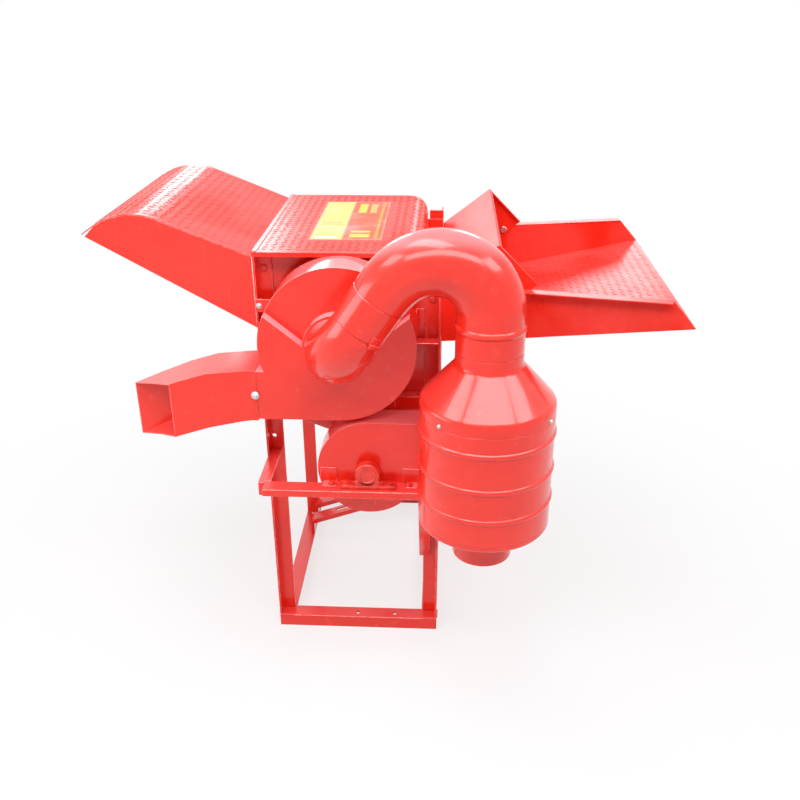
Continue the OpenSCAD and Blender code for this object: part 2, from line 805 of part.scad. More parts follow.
module fan_back_plate() {
    lug_h = drum_h + 48;
    plate_y = fan_back_y - sheet;
    color(paint) difference() {
        union() {
            slab(plate_y, fan_back_y) fan_outline(0);
            block([-half_w + 1, plate_y, lug_h - 13], [drum_x - fan_r + 20, fan_back_y, lug_h + 13]);
            block([-half_w + 1, fan_back_y - 0.5, lug_h - 13], [-half_w + 14, front_y, lug_h + 13]);
            for (x = [-120, 60]) {
                block([x, plate_y, chamber_rail_h - 24], [x + 30, fan_back_y, drum_h - fan_r + 12]);
                block([x, fan_back_y - 0.5, chamber_rail_h - 24], [x + 30, front_y, drum_h - fan_r - 1]);
            }
            block([drum_x + 100, plate_y, 728], [drum_x + 145, fan_back_y, 770]);
            block([drum_x + 142, fan_back_y - 0.5, 728], [drum_x + 145, front_plate_y - seat, 770]);
            block([drum_x + 142, front_plate_y - seat - 3, 728], [half_w - leg_w - 1, front_plate_y - seat, 770]);
        }
        rod_y(drum_x, drum_h, plate_y - 1, fan_back_y + 1, shaft_r + 3);
        rod_y(-half_w + 8, lug_h, plate_y - 1, front_y + 1, bolt_r + run_fit);
    }
}

module fan_face() {
    upper_y = fan_band_y - sheet;
    color(paint) difference() {
        union() {
            slab(upper_y, fan_band_y) fan_outline(0);
            slab(face_y, upper_y + 0.5) raised_outline(0);
        }
        slab(face_y + sheet, fan_band_y + 1) raised_outline(sheet);
        rod_y(drum_x, drum_h, face_y - 1, face_y + sheet + 1, elbow_r - pipe_wall);
        rod_y(duct_bolt_x, duct_bolt_h, face_y - 1, face_y + sheet + 1, bolt_r + run_fit);
    }
}

duct_bolt_x = -half_w + 9;
duct_bolt_h = 638;
duct_top = [[-168, outlet_top_h + seat], [-182, outlet_top_h + seat], [-200, 686], [-262, 680], [-318, 663],
    [-380, 638], [-442, 611]];
duct_low = [[-168, drum_h - fan_r - seat], [-182, drum_h - fan_r - seat], [-200, 584], [-267, 569], [-330, 549],
    [-380, 529], [-442, 499]];

module duct_profile(g) {
    top = shifted(duct_top, -g);
    low = shifted(duct_low, g);
    polygon(concat(top, reversed(low)));
}

// The duct's end is cut slantwise, so the rear wall reaches further
module fan_outlet() {
    y0 = face_y - seat - sheet;
    y1 = fan_back_y + seat;
    tip_front = -335;
    tip_rear = -441;
    color(paint) difference() {
        slab(y0, y1 + sheet) duct_profile(sheet);
        slab(y0 + sheet, y1) duct_bore();
        linear_extrude(height = 1000) polygon([[tip_front, y0 - 1], [tip_rear, y1 + sheet + 1],
            [-700, y1 + sheet + 1], [-700, y0 - 1]]);
        rod_y(duct_bolt_x, duct_bolt_h, y0 - 1, y0 + sheet + 1, bolt_r + run_fit);
    }
}

module duct_bore() {
    polygon(concat([duct_top[0] + [20, 0]], [for (i = [1:6]) duct_top[i]], [[-460, 603], [-460, 490]],
        [for (i = [6:-1:1]) duct_low[i]], [duct_low[0] + [20, 0]]));
}

// Suction pipe

spigot_r = gate_r - pipe_wall - 0.7;
pipe_sides = 32;

module inlet_elbow() {
    bend = [for (i = [0:9]) let (a = 90 * i / 9)
        [elbow_start + bend_r * ((1 - cos(a)) * lean + sin(a) * [0, -1, 0]),
            cos(a) * [0, -1, 0] + sin(a) * lean,
            elbow_r + (gate_r - 1 - elbow_r) * i / 9]];
    tail = [[on_lean(gate_start - seat), lean, gate_r - 1],
        [on_lean(gate_start), lean, spigot_r],
        [on_lean(gate_end - 26), lean, spigot_r]];
    color(paint) swept_pipe(concat(bend, tail), cross(lean, [0, -1, 0]), pipe_wall, pipe_sides);
}

module air_gate_sleeve() {
    color(paint) translate(on_lean(gate_start + seat)) rotate([0, 90 - elbow_lean, 0]) {
        difference() {
            cylinder(h = gate_l - 2 * seat, r = gate_r);
            translate([0, 0, -1]) cylinder(h = gate_l + 2, r = spigot_r + 0.4);
            rotate([0, 0, -52]) translate([gate_r - 6, -8, -1]) cube([12, 16, 13]);
        }
        rotate([0, 0, -52]) translate([gate_r - 1.2, -8, 12]) rotate([0, 55, 0]) cube([9, 16, 1.2]);
    }
}

function bezier(a, b, c, d, t) = (1 - t) * (1 - t) * (1 - t) * a + 3 * (1 - t) * (1 - t) * t * b
    + 3 * (1 - t) * t * t * c + t * t * t * d;
function bezier_way(a, b, c, d, t) = let (v = (1 - t) * (1 - t) * (b - a) + 2 * (1 - t) * t * (c - b)
    + t * t * (d - c)) v / norm(v);

module suction_arch() {
    p0 = on_lean(gate_end);
    p1 = on_lean(gate_end + 45);
    p2 = arch_top - [50, 0, 0];
    start = [[on_lean(gate_end - 20), lean, spigot_r], [on_lean(gate_end - 0.2), lean, spigot_r],
        [on_lean(gate_end), lean, gate_r]];
    rise = [for (i = [1:8]) let (t = i / 8)
        [bezier(p0, p1, p2, arch_top, t), bezier_way(p0, p1, p2, arch_top, t), gate_r + (crown_r - gate_r) * t]];
    fall = [for (i = [1:9]) let (a = 90 * i / 9)
        [arch_top + arch_drop_r * [sin(a), 0, cos(a) - 1], [cos(a), 0, -sin(a)],
            crown_r + (neck_r - crown_r) * i / 9]];
    neck = [for (p = [[neck_bead_h + 7, 0], [neck_bead_h + 3, bead_h], [neck_bead_h - 3, bead_h],
            [neck_bead_h - 7, 0], [neck_seam_h + seat, 0]])
        [[sep_x, arch_y, p[0]], [0, 0, -1], neck_r + p[1]]];
    color(paint) swept_pipe(concat(start, rise, fall, neck), [0, 1, 0], pipe_wall, pipe_sides);
}

// Separator

module turned(profile) {
    translate([sep_x, arch_y, 0]) rotate_extrude() polygon(profile);
}

module separator_cone() {
    spigot = neck_r - pipe_wall - 0.8;
    color(paint) turned([[spigot - sheet, neck_seam_h + 20], [spigot, neck_seam_h + 20], [spigot, neck_seam_h],
        [neck_r, neck_seam_h], [neck_r, collar_h], [sep_r, sep_top_h], [sep_r, lap_h + seat],
        [sep_r - sheet, lap_h + seat], [sep_r - sheet, sep_top_h - 1], [neck_r - sheet, collar_h - 2],
        [neck_r - sheet, neck_seam_h - 3], [spigot - sheet, neck_seam_h]]);
}

function bead(h) = [for (i = [0:6]) [sep_r + bead_h * sin(30 * i), h + 5 * cos(30 * i)]];

module separator_drum() {
    inner = sep_r - sheet;
    color(paint) difference() {
        turned(concat([[inner - seat - sheet, lap_h + 18], [inner - seat, lap_h + 18], [inner - seat, lap_h],
            [sep_r, lap_h]], [for (h = bead_heights) each bead(h)], [[sep_r, sep_low_h + 8],
            [inner, sep_low_h + 8], [inner, lap_h - 3], [inner - seat - sheet, lap_h - 1]]));
        block([chute_end_x - 90, arch_y + 20, chute_low_h + sheet],
            [chute_end_x - sheet, casing_back_y - sheet, casing_top_h - sheet]);
    }
}

module separator_funnel() {
    inner = sep_r - sheet;
    color(paint) turned([[inner - seat - sheet, sep_low_h + 20], [inner - seat, sep_low_h + 20],
        [inner - seat, sep_low_h + 8 - seat], [sep_r, sep_low_h + 8 - seat], [sep_r, sep_low_h],
        [outlet_r, sep_low_h - 30], [outlet_r, outlet_h], [outlet_r - sheet, outlet_h],
        [outlet_r - sheet, sep_low_h - 29], [inner - 3, sep_low_h + 2]]);
}

// Thrower

module casing_outline(g) {
    translate([thrower_x, thrower_h]) circle(r = casing_r - g);
    polygon([[thrower_x, casing_top_h - g], [casing_neck_x, casing_top_h - g], [casing_neck_x, chute_low_h + g],
        [thrower_x + casing_r - 12 - g, chute_low_h + g], [thrower_x + casing_r - g, thrower_h], [thrower_x, thrower_h]]);
}

module thrower_casing() {
    sep_cut = sep_r + seat;
    color(paint) difference() {
        union() {
            slab(casing_y, casing_back_y) casing_outline(0);
            block([casing_neck_x - 1, casing_y, chute_low_h], [chute_end_x, casing_back_y, casing_top_h]);
        }
        slab(casing_y - 1, casing_back_y - sheet) casing_outline(sheet);
        block([casing_neck_x - 8, casing_y + sheet, chute_low_h + sheet],
            [chute_end_x - sheet, casing_back_y - sheet, casing_top_h - sheet]);
        rod_y(thrower_x, thrower_h, casing_back_y - sheet - 1, casing_back_y + 1, trough_r - sheet);
        rod_z(sep_x, arch_y, chute_low_h - 1, casing_top_h + 1, sep_cut);
        for (h = bead_heights) rod_z(sep_x, arch_y, h - 5 - seat, h + 5 + seat, sep_cut + bead_h);
    }
}

module thrower_front_plate() {
    color(paint) difference() {
        slab(casing_y - sheet, casing_y) casing_outline(0);
        rod_y(thrower_x, thrower_h, casing_y - sheet - 1, casing_y + 1, thrower_shaft_r + 2);
    }
}

module casing_clips() {
    leaf_y = casing_y - sheet;
    color(paint) for (x = [clip_left_x, clip_right_x]) difference() {
        union() {
            block([x, leaf_y - 3, bearing_rail_h], [x + clip_w, leaf_y, bearing_rail_h + 33]);
            block([x + 6, clip_bolt_y - 10, bearing_rail_h], [x + clip_w, leaf_y, bearing_rail_h + 3]);
        }
        for (b = clip_bolts)
            rod_z(b, clip_bolt_y, bearing_rail_h - 1, bearing_rail_h + 4, bolt_r + run_fit);
    }
}

block_l = 110;
block_w = 24;

// A capped block hides the shaft's end behind a closed face
module pillow_block(at, up, bore, dome, capped) {
    half = block_w / 2;
    translate(at) difference() {
        union() {
            block([-block_l / 2, -half, 0], [block_l / 2, half, 8]);
            block([-dome, -half + 2, 0], [dome, half - 2, up]);
            rod_y(0, up, -half + 2, half - 2, dome);
            rod_y(0, up, -half, half, dome - 6);
        }
        rod_y(0, up, capped ? 3 - half : -block_w, block_w, bore + run_fit);
        for (s = [-0.5, 0.5]) rod_z(s * block_pitch, 0, -1, 9, bolt_r + run_fit);
        block([-dome + 5, -block_w, -1], [dome - 5, block_w, 2]);
    }
}

module thrower_bearings() {
    up = thrower_h - bearing_rail_h;
    color(paint) {
        pillow_block([thrower_x, bearing_y, bearing_rail_h], up, thrower_shaft_r, 24.5, true);
        pillow_block([thrower_x, rear_bearing_y, bearing_rail_h], up, thrower_shaft_r, 24.5, false);
    }
}

module drum_bearings() {
    up = drum_h - drum_rail_h;
    color(paint) for (y = [front_drum_y, rear_drum_y])
        pillow_block([drum_x, y, drum_rail_h], up, shaft_r, 26.5, false);
}

// Drum rotor with the fan and its pulley

drum_y0 = wall_y0 + 8;
drum_y1 = wall_y1 - 8;
drum_mid_y = (drum_y0 + drum_y1) / 2;
bar_w = 26;
bar_t = 13;
rotor_end_y = belt_y + pulley_step + 12;

module drum_shaft() {
    color(bare_steel) rod_y(drum_x, drum_h, fan_band_y + 2, rotor_end_y, shaft_r);
}

module drum_discs() {
    color(paint) for (y = [drum_y0 + 3, drum_mid_y - 2.5, drum_y1 - 8]) difference() {
        rod_y(drum_x, drum_h, y, y + 5, disc_r);
        rod_y(drum_x, drum_h, y - 1, y + 6, shaft_r + run_fit);
        for (i = [0:bar_count - 1]) translate([drum_x, y, drum_h]) rotate([0, 360 * i / bar_count, 0])
            block([disc_r - bar_t, -1, -bar_w / 2 - seat], [disc_r + 5, 6, bar_w / 2 + seat]);
    }
}

module beater_bars() {
    tooth_step = (drum_y1 - drum_y0 - 30) / (tooth_count - 0.5);
    color(paint) for (i = [0:bar_count - 1]) translate([drum_x, 0, drum_h]) rotate([0, 360 * i / bar_count, 0])
        union() {
            block([disc_r - bar_t, drum_y0, -bar_w / 2], [disc_r, drum_y1, bar_w / 2]);
            for (j = [0:tooth_count - 1])
                translate([disc_r - 1, drum_y0 + 15 + tooth_step * (j + (i % 2) / 2), 0]) rotate([0, 90, 0])
                    cylinder(h = tooth_l + 1, r = 4.5);
        }
}

module fan_impeller() {
    y0 = fan_band_y + 5;
    y1 = fan_back_y - 17;
    color(paint) difference() {
        union() {
            rod_y(drum_x, drum_h, y1 - 3, y1, impeller_r);
            rod_y(drum_x, drum_h, y0 + 10, y1, shaft_r + 14);
            for (i = [0:blade_count - 1]) translate([drum_x, 0, drum_h]) rotate([0, 360 * i / blade_count, 0])
                block([shaft_r + 10, y0, -1.5], [impeller_r - 2, y1 - 2, 1.5]);
        }
        rod_y(drum_x, drum_h, y0 - 1, y1 + 1, shaft_r + run_fit);
    }
}

module sheave(x, z, y, r, grooves, bore) {
    half = belt_w / 2 + seat;
    difference() {
        rod_y(x, z, y - half - 3, y + half + 3 + pulley_step * (grooves - 1), r + 4);
        for (i = [0:grooves - 1]) difference() {
            rod_y(x, z, y + i * pulley_step - half, y + i * pulley_step + half, r + 6);
            rod_y(x, z, y + i * pulley_step - half - 1, y + i * pulley_step + half + 1, r - groove_depth);
        }
        rod_y(x, z, y - half - 5, y + half + 5 + pulley_step * grooves, bore + run_fit);
    }
}

module drum_pulley() {
    color(bare_steel) sheave(drum_x, drum_h, belt_y, drum_pulley_r, 2, shaft_r);
}

// Auger and thrower rotor

module thrower_shaft() {
    color(bare_steel) rod_y(thrower_x, thrower_h, bearing_y - 8, belt_y + 12, thrower_shaft_r);
}

module auger_flight() {
    y0 = casing_back_y + 4;
    y1 = back_plate_y - sheet - 6;
    turns = (y1 - y0) / auger_pitch;
    color(bare_steel) translate([thrower_x, y1, thrower_h]) rotate([90, 0, 0])
        linear_extrude(height = y1 - y0, twist = -360 * turns, slices = ceil(turns * 20), segments = 4,
            convexity = 10)
            translate([thrower_shaft_r + seat, -4]) square([auger_r - thrower_shaft_r - seat, 8]);
}

module thrower_paddles() {
    y0 = casing_y + 6;
    y1 = casing_back_y - 7;
    color(paint) difference() {
        union() {
            rod_y(thrower_x, thrower_h, y0, y1, thrower_shaft_r + 10);
            for (i = [0:3]) translate([thrower_x, 0, thrower_h]) rotate([0, 90 * i + 20, 0])
                block([thrower_shaft_r + 6, y0, -2], [paddle_r, y1, 2]);
        }
        rod_y(thrower_x, thrower_h, y0 - 1, y1 + 1, thrower_shaft_r + run_fit);
    }
}

module thrower_pulley() {
    color(bare_steel) sheave(thrower_x, thrower_h, belt_y, thrower_pulley_r, 1, thrower_shaft_r);
}

// Belt loop: two arcs joined by their outer tangents
module belt_loop(ra, rb) {
    run = [thrower_x - drum_x, thrower_h - drum_h];
    way = atan2(run[1], run[0]);
    swing = acos((ra - rb) / norm(run));
    polygon(concat(arc(drum_x, drum_h, ra, way + swing, way + 360 - swing, 30),
        arc(thrower_x, thrower_h, rb, way - swing, way + swing, 20)));
}

module drive_belt() {
    color(rubber_black) difference() {
        slab(belt_y - belt_w / 2, belt_y + belt_w / 2) belt_loop(drum_pulley_r + 3, thrower_pulley_r + 3);
        slab(belt_y - belt_w, belt_y + belt_w) belt_loop(drum_pulley_r - 4, thrower_pulley_r - 4);
    }
}

// Fasteners

module bolt_down(x, y, z, grip) {
    rod_z(x, y, z - grip, z, bolt_r);
    translate([x, y, z]) cylinder(h = bolt_head_l, r = bolt_head_r, $fn = 6);
    translate([x, y, z - grip]) cylinder(h = bolt_head_l, r = bolt_head_r, $fn = 6);
}

module painted_bolts() {
    color(paint) {
        for (x = block_bolts, y = [bearing_y, rear_bearing_y])
            bolt_down(x, y, bearing_rail_h + 8, 8 + iron_t + bolt_head_l);
        for (s = [-0.5, 0.5], y = [front_drum_y, rear_drum_y])
            bolt_down(drum_x + s * block_pitch, y, drum_rail_h + 8, 8 + iron_t + bolt_head_l);
        for (x = clip_bolts)
            bolt_down(x, clip_bolt_y, bearing_rail_h + 3, 3 + iron_t + bolt_head_l);
        for (drop = [167, 100, 40])
            plate_bolt(half_w - leg_w / 2, cover_h - drop);
        for (drop = [230, 130, 40])
            plate_bolt(-half_w + leg_w / 2, cover_h - drop);
    }
}

// Bolt heads on the front legs that hold the side plate
module plate_bolt(x, z) {
    head_y = front_plate_y - iron_t;
    translate([x, head_y, z]) rotate([90, 0, 0]) cylinder(h = bolt_head_l, r = bolt_head_r, $fn = 6);
}

module pivot_bolt(y_in, out) {
    y_end = y_in + out * (2 * sheet + seat + 7);
    y_nut = y_in + out * (2 * sheet + 2 * seat + 0.4);
    rod_y(pivot_x, pivot_h, min(y_in, y_end), max(y_in, y_end), pivot_r);
    translate([pivot_x, out < 0 ? y_in + 5 : y_in, pivot_h]) rotate([90, 0, 0]) cylinder(h = 5, r = 8);
    translate([pivot_x, out < 0 ? y_nut : y_nut + 5, pivot_h]) rotate([90, 0, 0])
        cylinder(h = 5, r = 7, $fn = 6);
}

module bright_bolts() {
    lug_h = drum_h + 48;
    lug_y = fan_back_y - sheet;
    duct_y = face_y - seat - sheet;
    color(bare_steel) {
        pivot_bolt(front_y + sheet, -1);
        pivot_bolt(back_y - sheet, 1);
        rod_y(-half_w + 8, lug_h, lug_y, front_y, bolt_r);
        translate([-half_w + 8, lug_y, lug_h]) rotate([90, 0, 0]) cylinder(h = bolt_head_l, r = bolt_head_r, $fn = 6);
        rod_y(duct_bolt_x, duct_bolt_h, duct_y, face_y + sheet, bolt_r);
        translate([duct_bolt_x, duct_y, duct_bolt_h]) rotate([90, 0, 0])
            cylinder(h = bolt_head_l, r = bolt_head_r, $fn = 6);
        for (a = [98, 226, 330]) translate([sep_x, arch_y, lap_h + 5.5]) rotate([0, 0, a])
            translate([sep_r + 0.2, 0, 0]) rotate([0, 90, 0]) cylinder(h = 4, r = 4, $fn = 6);
    }
}

front_left_leg();
front_right_leg();
rear_left_leg();
rear_right_leg();
front_base_rail();
rear_base_rail();
left_base_rail();
right_base_rail();
motor_rail_front();
motor_rail_rear();
motor_rail_stay();
chamber_rail_front();
chamber_rail_rear();
bearing_rail_front();
bearing_rail_rear();
bearing_arm();
bearing_strut();
hinge_rail();
drum_bearing_rails();
front_side_plate();
rear_side_plate();
chamber_end_walls();
concave_ribs();
concave_rods();
grain_hopper();
top_cover();
cover_hinge_leaves();
hinge_pins();
straw_hood_top();
straw_hood_front_side();
straw_hood_rear_side();
feed_mouth();
feed_tray();
fan_scroll();
fan_back_plate();
fan_face();
fan_outlet();
inlet_elbow();
air_gate_sleeve();
suction_arch();
separator_cone();
separator_drum();
separator_funnel();
thrower_casing();
thrower_front_plate();
casing_clips();
thrower_bearings();
drum_bearings();
drum_shaft();
drum_discs();
beater_bars();
fan_impeller();
drum_pulley();
thrower_shaft();
auger_flight();
thrower_paddles();
thrower_pulley();
drive_belt();
painted_bolts();
bright_bolts();
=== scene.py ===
"""Looks of a small belt-driven threshing machine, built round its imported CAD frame.

The frame gives the solids, the bodies that carry them and their places. This script
softens the edges of the angle iron and sheet metal, remakes the round pipework, the
fasteners, bearings and pulleys as finer meshes, lays the raised tread pattern on the
chequered plates, and paints every surface with a procedural finish.
Lengths are in millimetres where a name or docstring says so, and in metres elsewhere.
"""

import json
import logging
import math
import random
from dataclasses import dataclass, field
from enum import Enum
from typing import Sequence

import bmesh
import bpy
from mathutils import Matrix, Vector


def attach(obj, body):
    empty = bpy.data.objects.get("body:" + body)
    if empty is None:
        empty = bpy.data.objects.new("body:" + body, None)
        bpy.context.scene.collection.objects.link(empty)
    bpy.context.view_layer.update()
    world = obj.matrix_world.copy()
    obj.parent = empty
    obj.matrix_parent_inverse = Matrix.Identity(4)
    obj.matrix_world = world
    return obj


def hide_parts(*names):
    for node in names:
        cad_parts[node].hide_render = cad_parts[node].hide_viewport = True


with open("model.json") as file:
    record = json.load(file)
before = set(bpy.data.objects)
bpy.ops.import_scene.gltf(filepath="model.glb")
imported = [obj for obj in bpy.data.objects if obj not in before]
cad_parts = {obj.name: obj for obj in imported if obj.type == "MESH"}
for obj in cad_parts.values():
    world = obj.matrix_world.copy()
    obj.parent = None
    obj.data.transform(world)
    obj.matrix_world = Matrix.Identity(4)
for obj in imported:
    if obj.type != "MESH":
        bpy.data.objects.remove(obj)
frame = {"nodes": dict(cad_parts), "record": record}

LOG = logging.getLogger("threshing_machine")
MM = 0.001
SAME_POINT = 1e-6
SAME_CAD_POINT = 1e-5

Colour = tuple[float, float, float]
Pair = tuple[float, float]
Point = tuple[float, float, float]


class Body(Enum):
    """The CAD bodies that pieces ride on."""

    MACHINE = "machine"
    DRUM = "drum_rotor"
    THROWER = "thrower_rotor"
    COVER = "cover"
    TRAY = "tray"
    GATE = "air_gate"


class Slot(Enum):
    """The record's material slots."""

    PAINT = "red_paint"
    TREAD = "tread_plate_paint"
    STEEL = "bare_steel"
    RUBBER = "belt_rubber"


def mm(x: float, y: float, z: float) -> Vector:
    """Returns a point given in millimetres as a vector in metres."""
    return Vector((x, y, z)) * MM


# ---------------------------------------------------------------- shader maths


class Sock:
    """A node socket whose arithmetic adds Math nodes."""

    def __init__(self, graph: "Graph", socket: bpy.types.NodeSocket) -> None:
        """Keeps the graph that owns the socket.

        Args:
            graph: the node graph that new Math nodes go into.
            socket: the output socket that this value reads.
        """
        self.graph = graph
        self.socket = socket

    def _math(self, operation: str, *values: "Sock | float") -> "Sock":
        """Returns a Math node's result on the given values."""
        return self.graph.add("ShaderNodeMath", {"operation": operation}, dict(enumerate(values)))

    def __add__(self, other: "Sock | float") -> "Sock":
        """Returns self + other."""
        return self._math("ADD", self, other)

    __radd__ = __add__

    def __mul__(self, other: "Sock | float") -> "Sock":
        """Returns self * other."""
        return self._math("MULTIPLY", self, other)

    __rmul__ = __mul__

    def __sub__(self, other: "Sock | float") -> "Sock":
        """Returns self - other."""
        return self._math("SUBTRACT", self, other)

    def __rsub__(self, other: float) -> "Sock":
        """Returns other - self."""
        return self._math("SUBTRACT", other, self)

    def most(self, other: "Sock | float") -> "Sock":
        """Returns the larger of self and other."""
        return self._math("MAXIMUM", self, other)

    def step(self, low: float, high: float) -> "Sock":
        """Returns 0 below low, 1 above high and a smooth rise between."""
        return self.graph.add(
            "ShaderNodeMapRange",
            {"interpolation_type": "SMOOTHSTEP"},
            {"Value": self, "From Min": low, "From Max": high},
        )


@dataclass(frozen=True)
class Grain:
    """A noise pattern: its scale, octaves, their strength and a stretch along the axes."""

    scale: float
    detail: float = 2.0
    roughness: float = 0.5
    stretch: Point | None = None


class Graph:
    """The node tree of a material or of the world."""

    def __init__(self, owner: bpy.types.Material | bpy.types.World) -> None:
        """Empties the owner's node tree.

        Args:
            owner: the material or world that gets the nodes.
        """
        owner.use_nodes = True
        self.owner = owner
        self.tree = owner.node_tree
        self.tree.nodes.clear()

    @classmethod
    def of_material(cls, name: str) -> "Graph":
        """Returns the graph of a new material."""
        return cls(bpy.data.materials.new(name))

    def add(
        self,
        kind: str,
        settings: dict[str, object] | None = None,
        inputs: dict[str | int, object] | None = None,
        output: str | int = 0,
    ) -> Sock:
        """Adds a node and returns one of its outputs.

        Args:
            kind: the node's type name.
            settings: the node's own properties, such as a Math node's operation.
            inputs: values or links, by socket name or number.
            output: the output socket wanted, by name or number.

        Returns:
            The wanted output, wrapped for arithmetic.
        """
        node = self.tree.nodes.new(kind)
        for key, value in (settings or {}).items():
            setattr(node, key, value)
        for key, value in (inputs or {}).items():
            if isinstance(value, Sock):
                self.tree.links.new(value.socket, node.inputs[key])
            else:
                node.inputs[key].default_value = value
        return Sock(self, node.outputs[output])

    def mix(self, factor: Sock, low: Sock | Colour, high: Sock | Colour) -> Sock:
        """Returns a colour that goes from low to high as factor goes from 0 to 1."""
        ends = [v if isinstance(v, Sock) else (*v, 1.0) for v in (low, high)]
        return self.add(
            "ShaderNodeMix", {"data_type": "RGBA"}, {"Factor": factor, 6: ends[0], 7: ends[1]}, 2
        )

    def place(self) -> Sock:
        """Returns the object coordinates, in metres."""
        return self.add("ShaderNodeTexCoord", output="Object")

    def noise(self, place: Sock, grain: Grain) -> Sock:
        """Returns a noise value about 0.5."""
        if grain.stretch:
            place = self.add("ShaderNodeMapping", None, {"Vector": place, "Scale": grain.stretch})
        return self.add("ShaderNodeTexNoise", None, {
            "Vector": place, "Scale": grain.scale, "Detail": grain.detail,
            "Roughness": grain.roughness,
        })

    def bump(self, height: Sock) -> Sock:
        """Returns the normals of a relief whose height is in metres."""
        return self.add(
            "ShaderNodeBump", None, {"Strength": 1.0, "Distance": 1.0, "Height": height}
        )

    def edge_chips_and_highlight(self) -> Sock:
        """Returns the mark that softened edges carry, 0 on the rest: chipped paint and a painted
        edge highlight.
        """
        return self.add("ShaderNodeAttribute", {"attribute_name": "edge_chip_highlight"}, output="Fac")

    def backdrop_rays(self) -> Sock:
        """Returns 1 for the rays that see the white backdrop, 0 for those that carry light."""
        seen = self.add("ShaderNodeLightPath", output="Is Camera Ray")
        for kind in ("Is Glossy Ray", "Is Transmission Ray"):
            seen = seen.most(self.add("ShaderNodeLightPath", output=kind))
        return seen

    def surface(self, **sockets: object) -> bpy.types.Material:
        """Joins a Principled surface to the output and returns the material.

        Args:
            sockets: Principled inputs, with underscores for spaces.

        Returns:
            The finished material.
        """
        inputs = {key.replace("_", " "): value for key, value in sockets.items()}
        self.add_output(self.add("ShaderNodeBsdfPrincipled", None, inputs))
        return self.owner

    def add_output(self, shader: Sock, kind: str = "ShaderNodeOutputMaterial") -> None:
        """Links a shader to the owner's output node."""
        node = self.tree.nodes.new(kind)
        self.tree.links.new(shader.socket, node.inputs["Surface"])


# ------------------------------------------------------------------- finishes


@dataclass(frozen=True)
class GlossEnamel:
    """Sprayed red gloss enamel over rolled or cut steel sheet.

    A band holds the two values of a pattern between which its mark fades in, a share
    says how strongly the mark shows, and heights are in metres.
    """

    name: str = "gloss_enamel"
    colour: Colour = (0.90, 0.032, 0.015)
    shade: Colour = (0.84, 0.024, 0.010)
    bloom: Colour = (0.94, 0.09, 0.06)
    # The chipped-paint colour of scuffs, also used for the painted highlight along softened edges.
    chip_and_highlight: Colour = (0.93, 0.36, 0.30)
    # The pale pink of the painted sheen that upward faces take.
    faded_and_sheen: Colour = (0.94, 0.34, 0.36)
    grime: Colour = (0.25, 0.030, 0.018)
    roughness: float = 0.24
    roughness_spread: float = 0.16
    specular: float = 0.40
    coat: float = 0.45
    coat_roughness: float = 0.08
    cloud: Grain = Grain(5.0, 3.0)
    cloud_band: Pair = (0.38, 0.62)
    mottle: Grain = Grain(38.0, 4.0, 0.6)
    bloom_band: Pair = (0.55, 0.80)
    bloom_share: float = 0.35
    # Painted sheen on upward faces: the slope band, the cloud band that breaks it up and its least
    # share.
    upward_band: Pair = (0.58, 0.88)
    sheen_cloud_band: Pair = (0.30, 0.60)
    sheen_least: float = 0.6
    # How strongly the painted sheen whitens upward faces.
    whitening: float = 0.6
    streak: Grain = Grain(1.0, 3.0, 0.6, (160.0, 160.0, 7.0))
    streak_band: Pair = (0.70, 0.74)
    patch: Grain = Grain(11.0)
    patch_band: Pair = (0.55, 0.64)
    scuff_share: float = 0.16
    scuff_roughness: float = 0.25
    scuff_depth: float = 0.00005
    speck: Grain = Grain(420.0, 2.0, 0.6)
    speck_band: Pair = (0.70, 0.74)
    dusty_band: Pair = (0.50, 0.58)
    dust_share: float = 0.55
    dust_roughness: float = 0.3
    # Noise that breaks up the chipped paint and the painted highlight on softened edges.
    edge_grain: Grain = Grain(60.0, 3.0, 0.7)
    edge_grain_band: Pair = (0.30, 0.62)
    edge_mark_share: float = 0.75
    wave: Grain = Grain(9.0)
    wave_height: float = 0.001
    peel: Grain = Grain(700.0, 1.0)
    peel_height: float = 0.000035

    def build(self) -> bpy.types.Material:
        """Returns the enamel's material."""
        g = Graph.of_material(self.name)
        place = g.place()
        cloud, mottle = g.noise(place, self.cloud), g.noise(place, self.mottle)
        colour = g.mix(cloud.step(*self.cloud_band), self.shade, self.colour)
        colour = g.mix(mottle.step(*self.bloom_band) * self.bloom_share, colour, self.bloom)
        # Painted sheen: faces that look upwards are whitened, standing in for the highlight that
        # light from above leaves on them.
        sheen_mask = self._upward(g).step(*self.upward_band) * (
            cloud.step(*self.sheen_cloud_band) * (1 - self.sheen_least) + self.sheen_least
        )
        colour = g.mix(sheen_mask * self.whitening, colour, self.faded_and_sheen)
        streak, patch = g.noise(place, self.streak), g.noise(place, self.patch)
        scuff = streak.step(*self.streak_band) * patch.step(*self.patch_band)
        colour = g.mix(scuff * self.scuff_share, colour, self.chip_and_highlight)
        speck = g.noise(place, self.speck)
        dust = speck.step(*self.speck_band) * mottle.step(*self.dusty_band)
        colour = g.mix(dust * self.dust_share, colour, self.grime)
        # Softened edges take chipped paint and a painted highlight, broken up by noise.
        edge = g.edge_chips_and_highlight() * g.noise(place, self.edge_grain).step(*self.edge_grain_band)
        colour = g.mix(edge * self.edge_mark_share, colour, self.chip_and_highlight)
        rough = mottle * self.roughness_spread + (self.roughness - self.roughness_spread / 2)
        rough = rough + scuff * self.scuff_roughness + dust * self.dust_roughness
        wave, peel = g.noise(place, self.wave), g.noise(place, self.peel)
        relief = wave * self.wave_height + peel * self.peel_height - scuff * self.scuff_depth
        return g.surface(
            Base_Color=colour, Roughness=rough, Normal=g.bump(relief),
            Specular_IOR_Level=self.specular, Coat_Weight=self.coat,
            Coat_Roughness=self.coat_roughness,
        )

    @staticmethod
    def _upward(g: Graph) -> Sock:
        """Returns how far the surface faces upwards, from -1 to 1."""
        normal = g.add("ShaderNodeTexCoord", output="Normal")
        return g.add("ShaderNodeSeparateXYZ", None, {"Vector": normal}, "Z")


